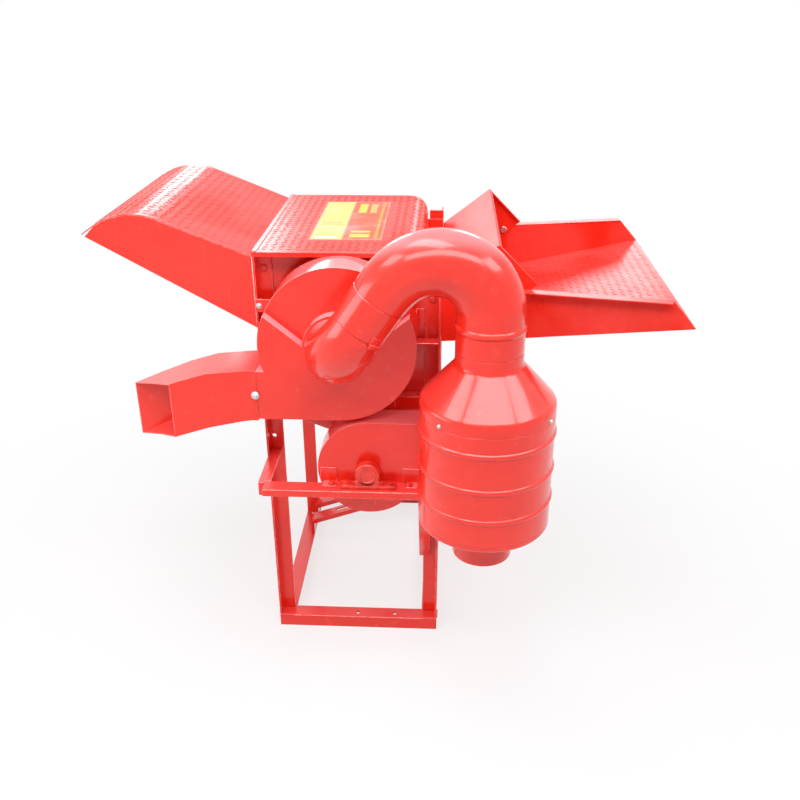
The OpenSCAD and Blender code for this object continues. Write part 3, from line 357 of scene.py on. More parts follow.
@dataclass(frozen=True)
class CastEnamel:
    """Red enamel brushed over a sand-cast housing."""

    name: str = "cast_enamel"
    colour: Colour = (0.88, 0.046, 0.022)
    shade: Colour = (0.66, 0.024, 0.012)
    roughness: float = 0.24
    roughness_spread: float = 0.2
    coat: float = 0.3
    coat_roughness: float = 0.15
    sand: Grain = Grain(260.0, 4.0, 0.65)
    sand_height: float = 0.0006
    run: Grain = Grain(1.0, 3.0, 0.5, (60.0, 60.0, 18.0))
    run_band: Pair = (0.35, 0.65)
    run_height: float = 0.0005

    def build(self) -> bpy.types.Material:
        """Returns the cast enamel's material."""
        g = Graph.of_material(self.name)
        place = g.place()
        sand, run = g.noise(place, self.sand), g.noise(place, self.run)
        return g.surface(
            Base_Color=g.mix(run.step(*self.run_band), self.shade, self.colour),
            Roughness=sand * self.roughness_spread + self.roughness,
            Normal=g.bump(sand * self.sand_height + run * self.run_height),
            Coat_Weight=self.coat, Coat_Roughness=self.coat_roughness,
        )


@dataclass(frozen=True)
class PlatedSteel:
    """Zinc-plated or bare turned steel."""

    name: str = "plated_steel"
    bright: Colour = (0.72, 0.72, 0.74)
    dull: Colour = (0.58, 0.57, 0.56)
    roughness: float = 0.22
    roughness_spread: float = 0.25
    stain: Grain = Grain(90.0, 4.0, 0.6)
    stain_band: Pair = (0.42, 0.68)
    stain_height: float = 0.00003
    brush: Grain = Grain(1.0, 2.0, 0.5, (900.0, 60.0, 900.0))
    brush_height: float = 0.00005

    def build(self) -> bpy.types.Material:
        """Returns the steel's material."""
        g = Graph.of_material(self.name)
        place = g.place()
        stain, brush = g.noise(place, self.stain), g.noise(place, self.brush)
        return g.surface(
            Base_Color=g.mix(stain.step(*self.stain_band), self.bright, self.dull),
            Metallic=1.0, Roughness=stain * self.roughness_spread + self.roughness,
            Normal=g.bump(brush * self.brush_height + stain * self.stain_height),
        )


@dataclass(frozen=True)
class BeltRubber:
    """Black rubber of a V-belt with a fabric cover."""

    name: str = "belt_rubber"
    colour: Colour = (0.018, 0.018, 0.020)
    dusty: Colour = (0.075, 0.068, 0.062)
    roughness: float = 0.5
    roughness_spread: float = 0.25
    dust: Grain = Grain(70.0, 4.0, 0.6)
    dust_band: Pair = (0.45, 0.70)
    dust_height: float = 0.0002
    weave_scale: float = 330.0
    weave_distortion: float = 1.0
    weave_height: float = 0.00012

    def build(self) -> bpy.types.Material:
        """Returns the rubber's material."""
        g = Graph.of_material(self.name)
        place = g.place()
        dust = g.noise(place, self.dust)
        weave = g.add(
            "ShaderNodeTexWave", {"bands_direction": "DIAGONAL"},
            {"Vector": place, "Scale": self.weave_scale, "Distortion": self.weave_distortion},
            "Fac",
        )
        return g.surface(
            Base_Color=g.mix(dust.step(*self.dust_band), self.colour, self.dusty),
            Roughness=dust * self.roughness_spread + self.roughness,
            Normal=g.bump(weave * self.weave_height + dust * self.dust_height),
        )


@dataclass(frozen=True)
class PrintedFilm:
    """Printed plastic film that has faded and scuffed."""

    name: str = "printed_film"
    faded_and_sheen: Colour = (0.95, 0.62, 0.66)
    bare: Colour = (0.90, 0.80, 0.74)
    roughness: float = 0.26
    roughness_spread: float = 0.2
    specular: float = 0.25
    cloud: Grain = Grain(14.0, 3.0, 0.6)
    cloud_band: Pair = (0.40, 0.72)
    cloud_share: float = 0.30
    cloud_height: float = 0.0006
    scuff: Grain = Grain(1.0, 3.0, 0.7, (40.0, 220.0, 40.0))
    scuff_band: Pair = (0.66, 0.72)
    scuff_share: float = 0.4
    scuff_height: float = 0.00005

    def build(self) -> bpy.types.Material:
        """Returns the film's material, whose inks come from the piece's own colours."""
        g = Graph.of_material(self.name)
        place = g.place()
        ink = g.add("ShaderNodeAttribute", {"attribute_name": "ink"}, output="Color")
        cloud, scuff = g.noise(place, self.cloud), g.noise(place, self.scuff)
        colour = g.mix(cloud.step(*self.cloud_band) * self.cloud_share, ink, self.faded_and_sheen)
        colour = g.mix(scuff.step(*self.scuff_band) * self.scuff_share, colour, self.bare)
        return g.surface(
            Base_Color=colour, Roughness=cloud * self.roughness_spread + self.roughness,
            Normal=g.bump(cloud * self.cloud_height + scuff * self.scuff_height),
            Specular_IOR_Level=self.specular,
        )


@dataclass
class Paintshop:
    """Builds each finish once and hands it out."""

    enamel: bpy.types.Material = field(init=False)
    tread: bpy.types.Material = field(init=False)
    dull: bpy.types.Material = field(init=False)
    strong_sheen: bpy.types.Material = field(init=False)
    iron: bpy.types.Material = field(init=False)
    cast: bpy.types.Material = field(init=False)
    print: bpy.types.Material = field(init=False)
    steel: bpy.types.Material = field(init=False)
    rubber: bpy.types.Material = field(init=False)

    def __post_init__(self) -> None:
        """Builds the materials; the enamel's variants differ in gloss and in how strongly a painted
        sheen whitens their upward faces.
        """
        self.enamel = GlossEnamel().build()
        self.tread = GlossEnamel(
            name="tread_plate_enamel", colour=(0.88, 0.058, 0.042), roughness=0.27,
            wave_height=0.0016, whitening=0.10, specular=0.14, coat=0.0,
        ).build()
        self.dull = GlossEnamel(
            name="dull_enamel", whitening=0.14, specular=0.12, coat=0.0, roughness=0.34,
        ).build()
        # The strongest painted sheen, for the upward ledge of the fan face.
        self.strong_sheen = GlossEnamel(name="strong_sheen_enamel", whitening=1.7).build()
        self.iron = GlossEnamel(name="iron_enamel", whitening=0.15, coat=0.3).build()
        self.cast = CastEnamel().build()
        self.print = PrintedFilm().build()
        self.steel = PlatedSteel().build()
        self.rubber = BeltRubber().build()

    def of_slot(self, slot: Slot) -> bpy.types.Material:
        """Returns the finish of one of the record's slots."""
        return {
            Slot.PAINT: self.enamel, Slot.TREAD: self.tread,
            Slot.STEEL: self.steel, Slot.RUBBER: self.rubber,
        }[slot]


# ------------------------------------------------------------- making pieces


@dataclass
class Workbench:
    """Turns bmeshes into finished pieces and keeps count of them."""

    paint: Paintshop
    made: int = 0

    def finish(
        self,
        name: str,
        bm: bmesh.types.BMesh,
        body: Body,
        slot: Slot,
        material: bpy.types.Material | None = None,
        replaces: Sequence[str] = (),
        crease: float = 32.0,
        recalc: bool = True,
    ) -> bpy.types.Object:
        """Makes an object from a bmesh and puts it on its body.

        Args:
            name: the piece's name.
            bm: the mesh, in metres in the frame's axes; it is freed.
            body: the body that the piece rides on.
            slot: the record's slot that its finish belongs to.
            material: a finish other than the slot's own.
            replaces: CAD nodes that the piece stands for.
            crease: edges that bend more than this many degrees stay sharp.
            recalc: whether the normals are turned outwards first.

        Returns:
            The new object.
        """
        if recalc:
            bmesh.ops.recalc_face_normals(bm, faces=bm.faces)
        limit = math.radians(crease)
        for face in bm.faces:
            face.smooth = True
        for edge in bm.edges:
            edge.smooth = len(edge.link_faces) == 2 and edge.calc_face_angle(0.0) < limit
        mesh = as_mesh(name, bm)
        piece = in_scene(name, mesh)
        mesh.materials.append(material or self.paint.of_slot(slot))
        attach(piece, body.value)
        if replaces:
            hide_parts(*replaces)
        self.made += 1
        LOG.info("made %s on %s, %d faces", name, body.value, len(mesh.polygons))
        return piece


def as_mesh(name: str, bm: bmesh.types.BMesh) -> bpy.types.Mesh:
    """Turns a bmesh into a mesh and frees it.

    Args:
        name: the mesh's name.
        bm: the bmesh.

    Returns:
        The new mesh.
    """
    mesh = bpy.data.meshes.new(name)
    bm.to_mesh(mesh)
    bm.free()
    return mesh


def in_scene(name: str, data: bpy.types.ID) -> bpy.types.Object:
    """Links a new object to the scene.

    Args:
        name: the object's name.
        data: the mesh, camera or lamp that it shows.

    Returns:
        The new object.
    """
    thing = bpy.data.objects.new(name, data)
    bpy.context.scene.collection.objects.link(thing)
    return thing


def body_of_node(node: str) -> Body:
    """Looks up the body that carries a CAD node.

    Args:
        node: the CAD node.

    Returns:
        Its body.
    """
    for body, members in frame["record"]["behaviour"]["bodies"].items():
        if node in members:
            return Body(body)
    raise ValueError(node)


def slot_of_node(node: str) -> Slot:
    """Looks up the record's slot of a CAD node.

    Args:
        node: the CAD node.

    Returns:
        Its slot.
    """
    for entry in frame["record"]["subparts"]:
        if entry["node"] == node:
            return Slot(entry["material_slot"])
    raise ValueError(node)


# ------------------------------------------------------------- shape helpers


def block(
    bm: bmesh.types.BMesh, low: Sequence[float], high: Sequence[float]
) -> list[bmesh.types.BMVert]:
    """Adds a box between two corners.

    Args:
        bm: the mesh that takes the box.
        low: the lowest corner in millimetres.
        high: the highest corner in millimetres.

    Returns:
        The box's vertices.
    """
    a, b = mm(*low), mm(*high)
    turn = Matrix.Translation((a + b) / 2) @ Matrix.Diagonal((*(b - a), 1.0))
    return bmesh.ops.create_cube(bm, size=1.0, matrix=turn)["verts"]


def edges_at(verts: Sequence[bmesh.types.BMVert]) -> list[bmesh.types.BMEdge]:
    """Returns the edges at some vertices, each once and in the same order each run."""
    return list(dict.fromkeys(e for v in verts for e in v.link_edges))


def bevelled(
    bm: bmesh.types.BMesh,
    edges: Sequence[bmesh.types.BMEdge],
    width: float,
    segments: int = 1,
    clamp: bool = False,
) -> list[bmesh.types.BMFace]:
    """Bevels edges.

    Args:
        bm: the mesh that owns them.
        edges: the edges.
        width: the bevel's width in metres.
        segments: the steps across it.
        clamp: whether bevels that would run into each other are narrowed.

    Returns:
        The new faces.
    """
    return bmesh.ops.bevel(
        bm, geom=list(edges), offset=width, affect="EDGES", segments=segments, profile=0.5,
        material=-1, clamp_overlap=clamp,
    )["faces"]


def facing(at: Vector, ahead: Vector, side: Vector | None = None) -> Matrix:
    """Returns a placing whose Z axis looks ahead.

    Args:
        at: the place in metres.
        ahead: the direction that Z takes.
        side: the direction that X takes as nearly as it can.

    Returns:
        The placing.
    """
    z = ahead.normalized()
    guide = side or (Vector((1, 0, 0)) if abs(z.x) < 0.9 else Vector((0, 1, 0)))
    y = z.cross(guide).normalized()
    return Matrix.Translation(at) @ Matrix((y.cross(z), y, z)).transposed().to_4x4()


def filleted(points: Sequence[Pair], reach: float, steps: int = 5) -> list[Pair]:
    """Returns an open outline whose inner corners are rounded.

    Args:
        points: the corners in order, in millimetres.
        reach: how far each rounding runs along the sides that meet.
        steps: the parts of each rounding.

    Returns:
        The rounded outline.
    """
    out = [points[0]]
    for before, here, after in zip(points, points[1:], points[2:]):
        a, b, c = Vector(before), Vector(here), Vector(after)
        start = b + (a - b).normalized() * min(reach, 0.45 * (a - b).length)
        end = b + (c - b).normalized() * min(reach, 0.45 * (c - b).length)
        for i in range(steps + 1):
            t = i / steps
            out.append(tuple((1 - t) ** 2 * start + 2 * t * (1 - t) * b + t * t * end))
    out.append(points[-1])
    return out


def lathe(
    bm: bmesh.types.BMesh,
    outline: Sequence[Pair],
    at: Vector,
    axis: Vector,
    steps: int = 96,
) -> None:
    """Spins an outline round an axis.

    Args:
        bm: the mesh that takes the new faces.
        outline: (radius, height) pairs in millimetres; it closes on itself unless it
            starts on the axis.
        at: the point where height is zero, in metres.
        axis: the axis' direction.
        steps: facets in the full turn.
    """
    turn = facing(at, axis)
    verts = [bm.verts.new(turn @ (Vector((r, 0.0, h)) * MM)) for r, h in outline]
    pairs = list(zip(verts, verts[1:]))
    if outline[0][0] > 0:
        pairs.append((verts[-1], verts[0]))
    edges = [bm.edges.new(pair) for pair in pairs]
    bmesh.ops.spin(
        bm, geom=verts + edges, cent=at, axis=axis, dvec=(0, 0, 0), angle=math.tau,
        steps=steps, use_merge=True,
    )
    poles = [v for v in bm.verts if (v.co - at).cross(axis).length < SAME_POINT]
    bmesh.ops.remove_doubles(bm, verts=poles, dist=SAME_POINT)


def loft(bm: bmesh.types.BMesh, rings: Sequence[Sequence[Vector]]) -> None:
    """Joins closed rings of points, and the last ring to the first.

    Args:
        bm: the mesh that takes the skin.
        rings: rings of points in metres, each with as many points as the next.
    """
    loops = []
    for points in rings:
        verts = [bm.verts.new(p) for p in points]
        loops.append([bm.edges.new(pair) for pair in zip(verts, verts[1:] + verts[:1])])
    for first, second in zip(loops, loops[1:] + loops[:1]):
        bmesh.ops.bridge_loops(bm, edges=first + second)


@dataclass(frozen=True)
class Station:
    """One ring of a pipe: its centre in metres, its direction and its outer radius in mm."""

    at: Vector
    ahead: Vector
    radius: float


def pipe(
    bm: bmesh.types.BMesh,
    stations: Sequence[Station],
    side: Vector,
    wall: float,
    sides: int = 64,
) -> None:
    """Lays a walled pipe through its stations.

    Args:
        bm: the mesh that takes the pipe.
        stations: the pipe's rings in order.
        side: the direction that every ring's X follows.
        wall: the wall's thickness in millimetres.
        sides: facets round the pipe.
    """
    angles = [math.tau * i / sides for i in range(sides)]
    rings = []
    for shrink, shell in ((0.0, stations), (wall, list(reversed(stations)))):
        for s in shell:
            turn = facing(s.at, s.ahead, side)
            r = (s.radius - shrink) * MM
            rings.append([turn @ Vector((r * math.cos(a), r * math.sin(a), 0.0)) for a in angles])
    loft(bm, rings)


def prism(
    bm: bmesh.types.BMesh, at: Vector, out: Vector, radius: float, height: float, sides: int
) -> None:
    """Adds a straight prism whose far rim is chamfered.

    Args:
        bm: the mesh that takes the prism.
        at: the middle of its seat, in metres.
        out: the direction that it rises in.
        radius: its radius over corners in millimetres.
        height: its height in millimetres.
        sides: its number of sides.
    """
    made = bmesh.ops.create_cone(
        bm, cap_ends=True, segments=sides, radius1=radius * MM, radius2=radius * MM,
        depth=height * MM, matrix=facing(at + out * (height / 2 * MM), out),
    )["verts"]
    rim = [v for v in made if (v.co - at).dot(out) > 0.5 * height * MM]
    edges = [e for e in edges_at(rim) if all(v in rim for v in e.verts)]
    bevelled(bm, edges, min(0.12 * radius, 0.4 * height) * MM)


# --------------------------------------------------------------- sheet metal


@dataclass
class SheetMetal:
    """Angle iron, plates and folded sheet, with their cut edges broken.

    Bends under flat_deg count as flat, and convex edges over sharp_deg are broken.
    """

    bench: Workbench
    chamfer: float = 0.5
    iron_chamfer: float = 0.9
    flat_deg: float = 0.3
    sharp_deg: float = 40.0
    dull_nodes: tuple[str, ...] = ("feed_mouth",)
    # Nodes whose upward faces take the strongest painted sheen.
    strong_sheen_nodes: tuple[str, ...] = ("fan_face",)
    iron_like_nodes: tuple[str, ...] = ("fan_outlet",)
    sheet_nodes: tuple[str, ...] = (
        "front_side_plate", "rear_side_plate", "chamber_end_walls", "concave_ribs",
        "grain_hopper", "top_cover", "cover_hinge_leaves", "straw_hood_top",
        "straw_hood_front_side", "straw_hood_rear_side", "feed_mouth", "feed_tray",
        "fan_scroll", "fan_back_plate", "fan_face", "fan_outlet", "thrower_casing",
        "thrower_front_plate", "casing_clips", "drum_discs", "fan_impeller",
        "thrower_paddles",
    )
    iron_nodes: tuple[str, ...] = (
        "front_left_leg", "front_right_leg", "rear_left_leg", "rear_right_leg",
        "front_base_rail", "rear_base_rail", "left_base_rail", "right_base_rail",
        "motor_rail_front", "motor_rail_rear", "motor_rail_stay", "chamber_rail_front",
        "chamber_rail_rear", "bearing_rail_front", "bearing_rail_rear", "bearing_arm",
        "bearing_strut", "hinge_rail", "beater_bars", "drum_bearing_rails",
    )

    def build(self) -> None:
        """Makes a softened copy of each node."""
        for nodes, width in (
            (self.sheet_nodes, self.chamfer), (self.iron_nodes, self.iron_chamfer),
        ):
            for node in nodes:
                self._soften(node, width * MM)

    def _soften(self, node: str, width: float) -> None:
        """Copies one node with its outer edges chamfered and marked for chipped paint and a painted
        edge highlight.

        Args:
            node: the CAD node.
            width: the chamfer's width in metres.
        """
        bm = bmesh.new()
        bm.from_mesh(frame["nodes"][node].data)
        bmesh.ops.remove_doubles(bm, verts=bm.verts, dist=SAME_CAD_POINT)
        bmesh.ops.dissolve_limit(
            bm, angle_limit=math.radians(self.flat_deg), verts=bm.verts, edges=bm.edges,
            delimit=set(),
        )
        limit = math.radians(self.sharp_deg)
        sharp = [
            e for e in bm.edges
            if len(e.link_faces) == 2 and e.is_convex and e.calc_face_angle(0.0) > limit
            and e.calc_length() > 3 * width
        ]
        # The chamfers are marked for chipped paint and a painted edge highlight.
        layer = bm.loops.layers.float.new("edge_chip_highlight")
        for face in bevelled(bm, sharp, width, clamp=True):
            for loop in face.loops:
                loop[layer] = 1.0
        self.bench.finish(
            node + "_finished", bm, body_of_node(node), slot_of_node(node), self._look(node),
            replaces=(node,), recalc=False,
        )

    def _look(self, node: str) -> bpy.types.Material | None:
        """Chooses a node's finish.

        Args:
            node: the CAD node.

        Returns:
            Its finish, or nothing for its slot's own.
        """
        paint = self.bench.paint
        if node in self.dull_nodes:
            return paint.dull
        if node in self.strong_sheen_nodes:
            return paint.strong_sheen
        painted_iron = node in self.iron_nodes and slot_of_node(node) is Slot.PAINT
        return paint.iron if painted_iron or node in self.iron_like_nodes else None


# ------------------------------------------------------------------ pipework


@dataclass
class SuctionPipe:
    """The elbow on the fan, the air gate sleeve and the arch over to the separator.

    Sizes are in millimetres. The gate's ends are measured up the leaning pipe. A stop
    and a latch are corner pairs of plates, outwards, round and along that pipe.
    """

    bench: Workbench
    start: Point = (-12.0, -102.0, 736.0)
    plane_y: float = -192.0
    bend_r: float = 90.0
    elbow_r: float = 60.0
    gate_r: float = 51.0
    crown_r: float = 57.0
    neck_r: float = 60.0
    wall: float = 2.0
    rim_step: float = 1.0
    rim_edge: float = 0.8
    spigot_gap: float = 0.7
    elbow_spigot_end: float = 26.0
    arch_spigot: float = 20.0
    gate_low: float = 94.0
    gate_high: float = 158.0
    sleeve_gap: float = 0.4
    sleeve_edge: float = 1.2
    sleeve_wall: float = 1.4
    lean_deg: float = 56.0
    crown: Point = (178.0, -192.0, 931.0)
    rise_pull: float = 45.0
    crown_pull: float = 50.0
    drop_r: float = 88.0
    bead_h: float = 821.0
    bead_rise: float = 3.0
    bead_half: float = 6.5
    seam_h: float = 776.3
    bend_steps: int = 24
    drop_steps: int = 30
    bead_steps: int = 12
    stop_deg: float = -66.0
    stop: tuple[tuple[Point, Point], ...] = (((-2.6, -7, -15), (0.8, 7, -4)),)
    latch_deg: float = -52.0
    latch: tuple[tuple[Point, Point], ...] = (
        ((-1.3, -11, 1), (1.3, 11, 15)), ((0.8, -11, 0.4), (5.6, 11, 2)),
        ((4.0, -11, -5.5), (5.6, 11, 1.2)),
    )
    plate_edge: float = 0.35

    def __post_init__(self) -> None:
        """Works out the leaning direction and the spigots' radius."""
        a = math.radians(self.lean_deg)
        self.lean = Vector((math.cos(a), 0.0, math.sin(a)))
        self.spigot_r = self.gate_r - self.wall - self.spigot_gap

    def _on_lean(self, along: float) -> Vector:
        """Returns the point that many millimetres up the leaning pipe, in metres."""
        return mm(self.start[0], self.plane_y, self.start[2]) + self.lean * (along * MM)

    def build(self) -> None:
        """Makes the three pieces."""
        self._elbow()
        self._sleeve()
        self._arch()

    def _elbow(self) -> None:
        """Makes the elbow that leaves the fan and turns up to the gate."""
        out = Vector((0, -1, 0))
        rim = self.gate_r - self.rim_step
        stations = []
        for i in range(self.bend_steps + 1):
            t = i / self.bend_steps
            a = math.pi / 2 * t
            bend = (1 - math.cos(a)) * self.lean + math.sin(a) * out
            stations.append(Station(
                mm(*self.start) + bend * (self.bend_r * MM),
                math.cos(a) * out + math.sin(a) * self.lean,
                self.elbow_r + (rim - self.elbow_r) * t,
            ))
        low, end = self.gate_low, self.gate_high - self.elbow_spigot_end
        for along, radius in ((low - 0.3, rim), (low, self.spigot_r), (end, self.spigot_r)):
            stations.append(Station(self._on_lean(along), self.lean, radius))
        bm = bmesh.new()
        pipe(bm, stations, self.lean.cross(out), self.wall)
        self._add_plates(bm, low, self.stop_deg, self.stop)
        self.bench.finish("suction_elbow", bm, Body.MACHINE, Slot.PAINT, replaces=("inlet_elbow",))

    def _sleeve(self) -> None:
        """Makes the turning sleeve and its bent latch."""
        low, high = self.gate_low + self.sleeve_gap, self.gate_high - self.sleeve_gap
        edge = self.sleeve_edge
        rings = ((low, -edge), (low + edge, 0.0), (high - edge, 0.0), (high, -edge))
        bm = bmesh.new()
        pipe(
            bm, [Station(self._on_lean(s), self.lean, self.gate_r + grow) for s, grow in rings],
            Vector((0, 1, 0)), self.sleeve_wall,
        )
        self._add_plates(bm, low, self.latch_deg, self.latch)
        self.bench.finish("gate_sleeve", bm, Body.GATE, Slot.PAINT, replaces=("air_gate_sleeve",))

    def _add_plates(
        self,
        bm: bmesh.types.BMesh,
        along: float,
        turn_deg: float,
        plates: Sequence[tuple[Point, Point]],
    ) -> None:
        """Adds small plates to the leaning pipe's wall.

        Args:
            bm: the mesh that takes them.
            along: their place up the leaning pipe in millimetres.
            turn_deg: their turn round the pipe.
            plates: corner pairs in millimetres, outwards, round and along the pipe.
        """
        turn = (
            facing(self._on_lean(along), self.lean, Vector((self.lean.z, 0, -self.lean.x)))
            @ Matrix.Rotation(math.radians(turn_deg), 4, "Z")
            @ Matrix.Translation(mm(self.gate_r, 0, 0))
        )
        part = bmesh.new()
        for low, high in plates:
            block(part, low, high)
        bevelled(part, part.edges, self.plate_edge * MM, 2)
        bmesh.ops.transform(part, matrix=turn, verts=part.verts)
        mesh = as_mesh("plates", part)
        bm.from_mesh(mesh)
        bpy.data.meshes.remove(mesh)

    def _arch(self) -> None:
        """Makes the arch from the gate over to the separator's neck."""
        high = self.gate_high
        start, crown = self._on_lean(high), mm(*self.crown)
        rise, level = self._on_lean(high + self.rise_pull), crown - mm(self.crown_pull, 0, 0)
        edge = self.rim_edge
        rings = (
            (high - self.arch_spigot, self.spigot_r), (high - 0.2, self.spigot_r),
            (high, self.gate_r - edge), (high + edge, self.gate_r),
        )
        stations = [Station(self._on_lean(s), self.lean, r) for s, r in rings]
        for i in range(1, self.bend_steps + 1):
            t, u = i / self.bend_steps, 1 - i / self.bend_steps
            way = u * u * (rise - start) + 2 * u * t * (level - rise) + t * t * (crown - level)
            at = u**3 * start + 3 * u * u * t * rise + 3 * u * t * t * level + t**3 * crown
            stations.append(Station(at, way, self.gate_r + (self.crown_r - self.gate_r) * t))
        for i in range(1, self.drop_steps + 1):
            t = i / self.drop_steps
            a = math.pi / 2 * t
            at = crown + mm(self.drop_r * math.sin(a), 0, self.drop_r * (math.cos(a) - 1))
            radius = self.crown_r + (self.neck_r - self.crown_r) * t
            stations.append(Station(at, Vector((math.cos(a), 0, -math.sin(a))), radius))
        x, down = self.crown[0] + self.drop_r, Vector((0, 0, -1))
        for i in range(self.bead_steps + 1):
            t = i / self.bead_steps
            lift = self.bead_rise * math.sin(math.pi * t)
            at = mm(x, self.plane_y, self.bead_h + self.bead_half * (1 - 2 * t))
            stations.append(Station(at, down, self.neck_r + lift))
        for h, grow in ((self.seam_h + 1, 0.0), (self.seam_h, -edge)):
            stations.append(Station(mm(x, self.plane_y, h), down, self.neck_r + grow))
        bm = bmesh.new()
        pipe(bm, stations, Vector((0, 1, 0)), self.wall)
        self.bench.finish("suction_bend", bm, Body.MACHINE, Slot.PAINT, replaces=("suction_arch",))


@dataclass
class Separator:
    """The upright drum with its cone, rolled beads and bottom funnel, in millimetres."""

    bench: Workbench
    at: Point = (266.0, -192.0, 0.0)
    facets: int = 144
    radius: float = 122.0
    sheet: float = 2.0
    lap_gap: float = 0.3
    neck_r: float = 60.0
    neck_gap: float = 0.8
    outlet_r: float = 56.0
    spigot_top: float = 796.0
    neck_top: float = 776.0
    neck_low: float = 755.0
    shoulder_h: float = 686.0
    lap_top: float = 683.0
    lap_h: float = 665.0
    beads: tuple[float, ...] = (629.0, 559.0, 498.0)
    bead_rise: float = 3.0
    bead_half: float = 5.0
    bead_foot: float = 6.0
    bead_steps: int = 10
    inner_lap_top: float = 458.0
    seam_h: float = 446.0
    funnel_h: float = 438.0
    throat_h: float = 408.0
    outlet_h: float = 360.1
    shoulder_round: float = 7.0
    funnel_round: float = 4.0
    chute_low: Point = (172.0, -172.0, 502.0)
    chute_high: Point = (260.0, -44.0, 580.0)

    def build(self) -> None:
        """Makes the cone, the drum and the funnel."""
        r, t = self.radius, self.sheet
        lap_r = r - t - self.lap_gap
        self._turned("separator_hood", self._cone(), "separator_cone")
        side = [(r - 0.6, self.lap_h), (r, self.lap_h - 0.8)]
        for h in self.beads:
            side += self._bead(h)
        side += [(r, self.seam_h + 0.6), (r - 0.5, self.seam_h + 0.1), (r - t, self.seam_h + 0.1)]
        side += [(r - t, self.lap_h - 3), (lap_r - t, self.lap_h - 1), (lap_r - t, self.lap_top)]
        shell = [(lap_r, self.lap_top), (lap_r, self.lap_h)] + side
        self._turned("separator_shell", shell, "separator_drum", chute=True)
        bottom, out = self.outlet_h, self.outlet_r
        funnel = [(lap_r, self.inner_lap_top), (lap_r, self.seam_h - 0.2)]
        funnel += filleted([
            (r, self.seam_h - 0.4), (r, self.funnel_h), (out, self.throat_h),
            (out, bottom + 0.9), (out - 0.4, bottom),
        ], self.funnel_round)
        funnel += [(out - t, bottom), (out - t, self.throat_h + 1), (r - 5, self.funnel_h + 2)]
        funnel += [(lap_r - t, self.inner_lap_top)]
        self._turned("separator_bottom", funnel, "separator_funnel")

    def _cone(self) -> list[Pair]:
        """Returns the cone's outline: its inner spigot, then its outside and inside."""
        r, t, neck, top = self.radius, self.sheet, self.neck_r, self.neck_top
        spigot, low = neck - t - self.neck_gap, self.lap_h + 0.4
        cone = [(spigot - t, top), (spigot - t, self.spigot_top), (spigot, self.spigot_top)]
        cone += [(spigot, top + 0.2)]
        cone += filleted([
            (neck - 0.6, top), (neck, top - 0.6), (neck, self.neck_low), (r, self.shoulder_h),
            (r, low),
        ], self.shoulder_round)
        cone += [(r - t, low), (r - t, self.shoulder_h - 1.5)]
        return cone + [(neck - t, self.neck_low - 2), (neck - t, top - 3)]

    def _bead(self, height: float) -> list[Pair]:
        """Draws one rolled bead, from its upper foot to its lower one.

        Args:
            height: the height of its middle in millimetres.

        Returns:
            Its (radius, height) pairs.
        """
        r, steps = self.radius, self.bead_steps
        turns = [math.pi * i / steps for i in range(1, steps)]
        swell = [
            (r + self.bead_rise * math.sin(a), height + self.bead_half * math.cos(a))
            for a in turns
        ]
        return [(r, height + self.bead_foot), *swell, (r, height - self.bead_foot)]

    def _turned(self, name: str, outline: Sequence[Pair], node: str, chute: bool = False) -> None:
        """Spins one outline into a finished piece.

        Args:
            name: the piece's name.
            outline: (radius, height) pairs in millimetres.
            node: the CAD node that it stands for.
            chute: whether the thrower's chute opens into it.
        """
        bm = bmesh.new()
        lathe(bm, outline, mm(*self.at), Vector((0, 0, 1)), self.facets)
        if chute:
            self._open_chute(bm)
        self.bench.finish(name, bm, Body.MACHINE, Slot.PAINT, replaces=(node,))

    def _open_chute(self, bm: bmesh.types.BMesh) -> None:
        """Cuts away both skins of the wall inside the thrower's chute.

        Args:
            bm: the drum's mesh.
        """
        low, high = mm(*self.chute_low), mm(*self.chute_high)
        up, back = Vector((0, 0, 1)), Vector((0, 1, 0))
        for at, way in ((low, up), (high, up), (low, back)):
            bmesh.ops.bisect_plane(
                bm, geom=bm.verts[:] + bm.edges[:] + bm.faces[:], plane_co=at, plane_no=way
            )
        hole = []
        for face in bm.faces:
            spot = face.calc_center_median()
            if all(a < v < b for a, v, b in zip(low, spot, high)):
                hole.append(face)
        bmesh.ops.delete(bm, geom=hole, context="FACES")
        rims = [e for e in bm.edges if e.is_boundary]
        bmesh.ops.bridge_loops(bm, edges=rims)


# ------------------------------------------------------------------ fasteners


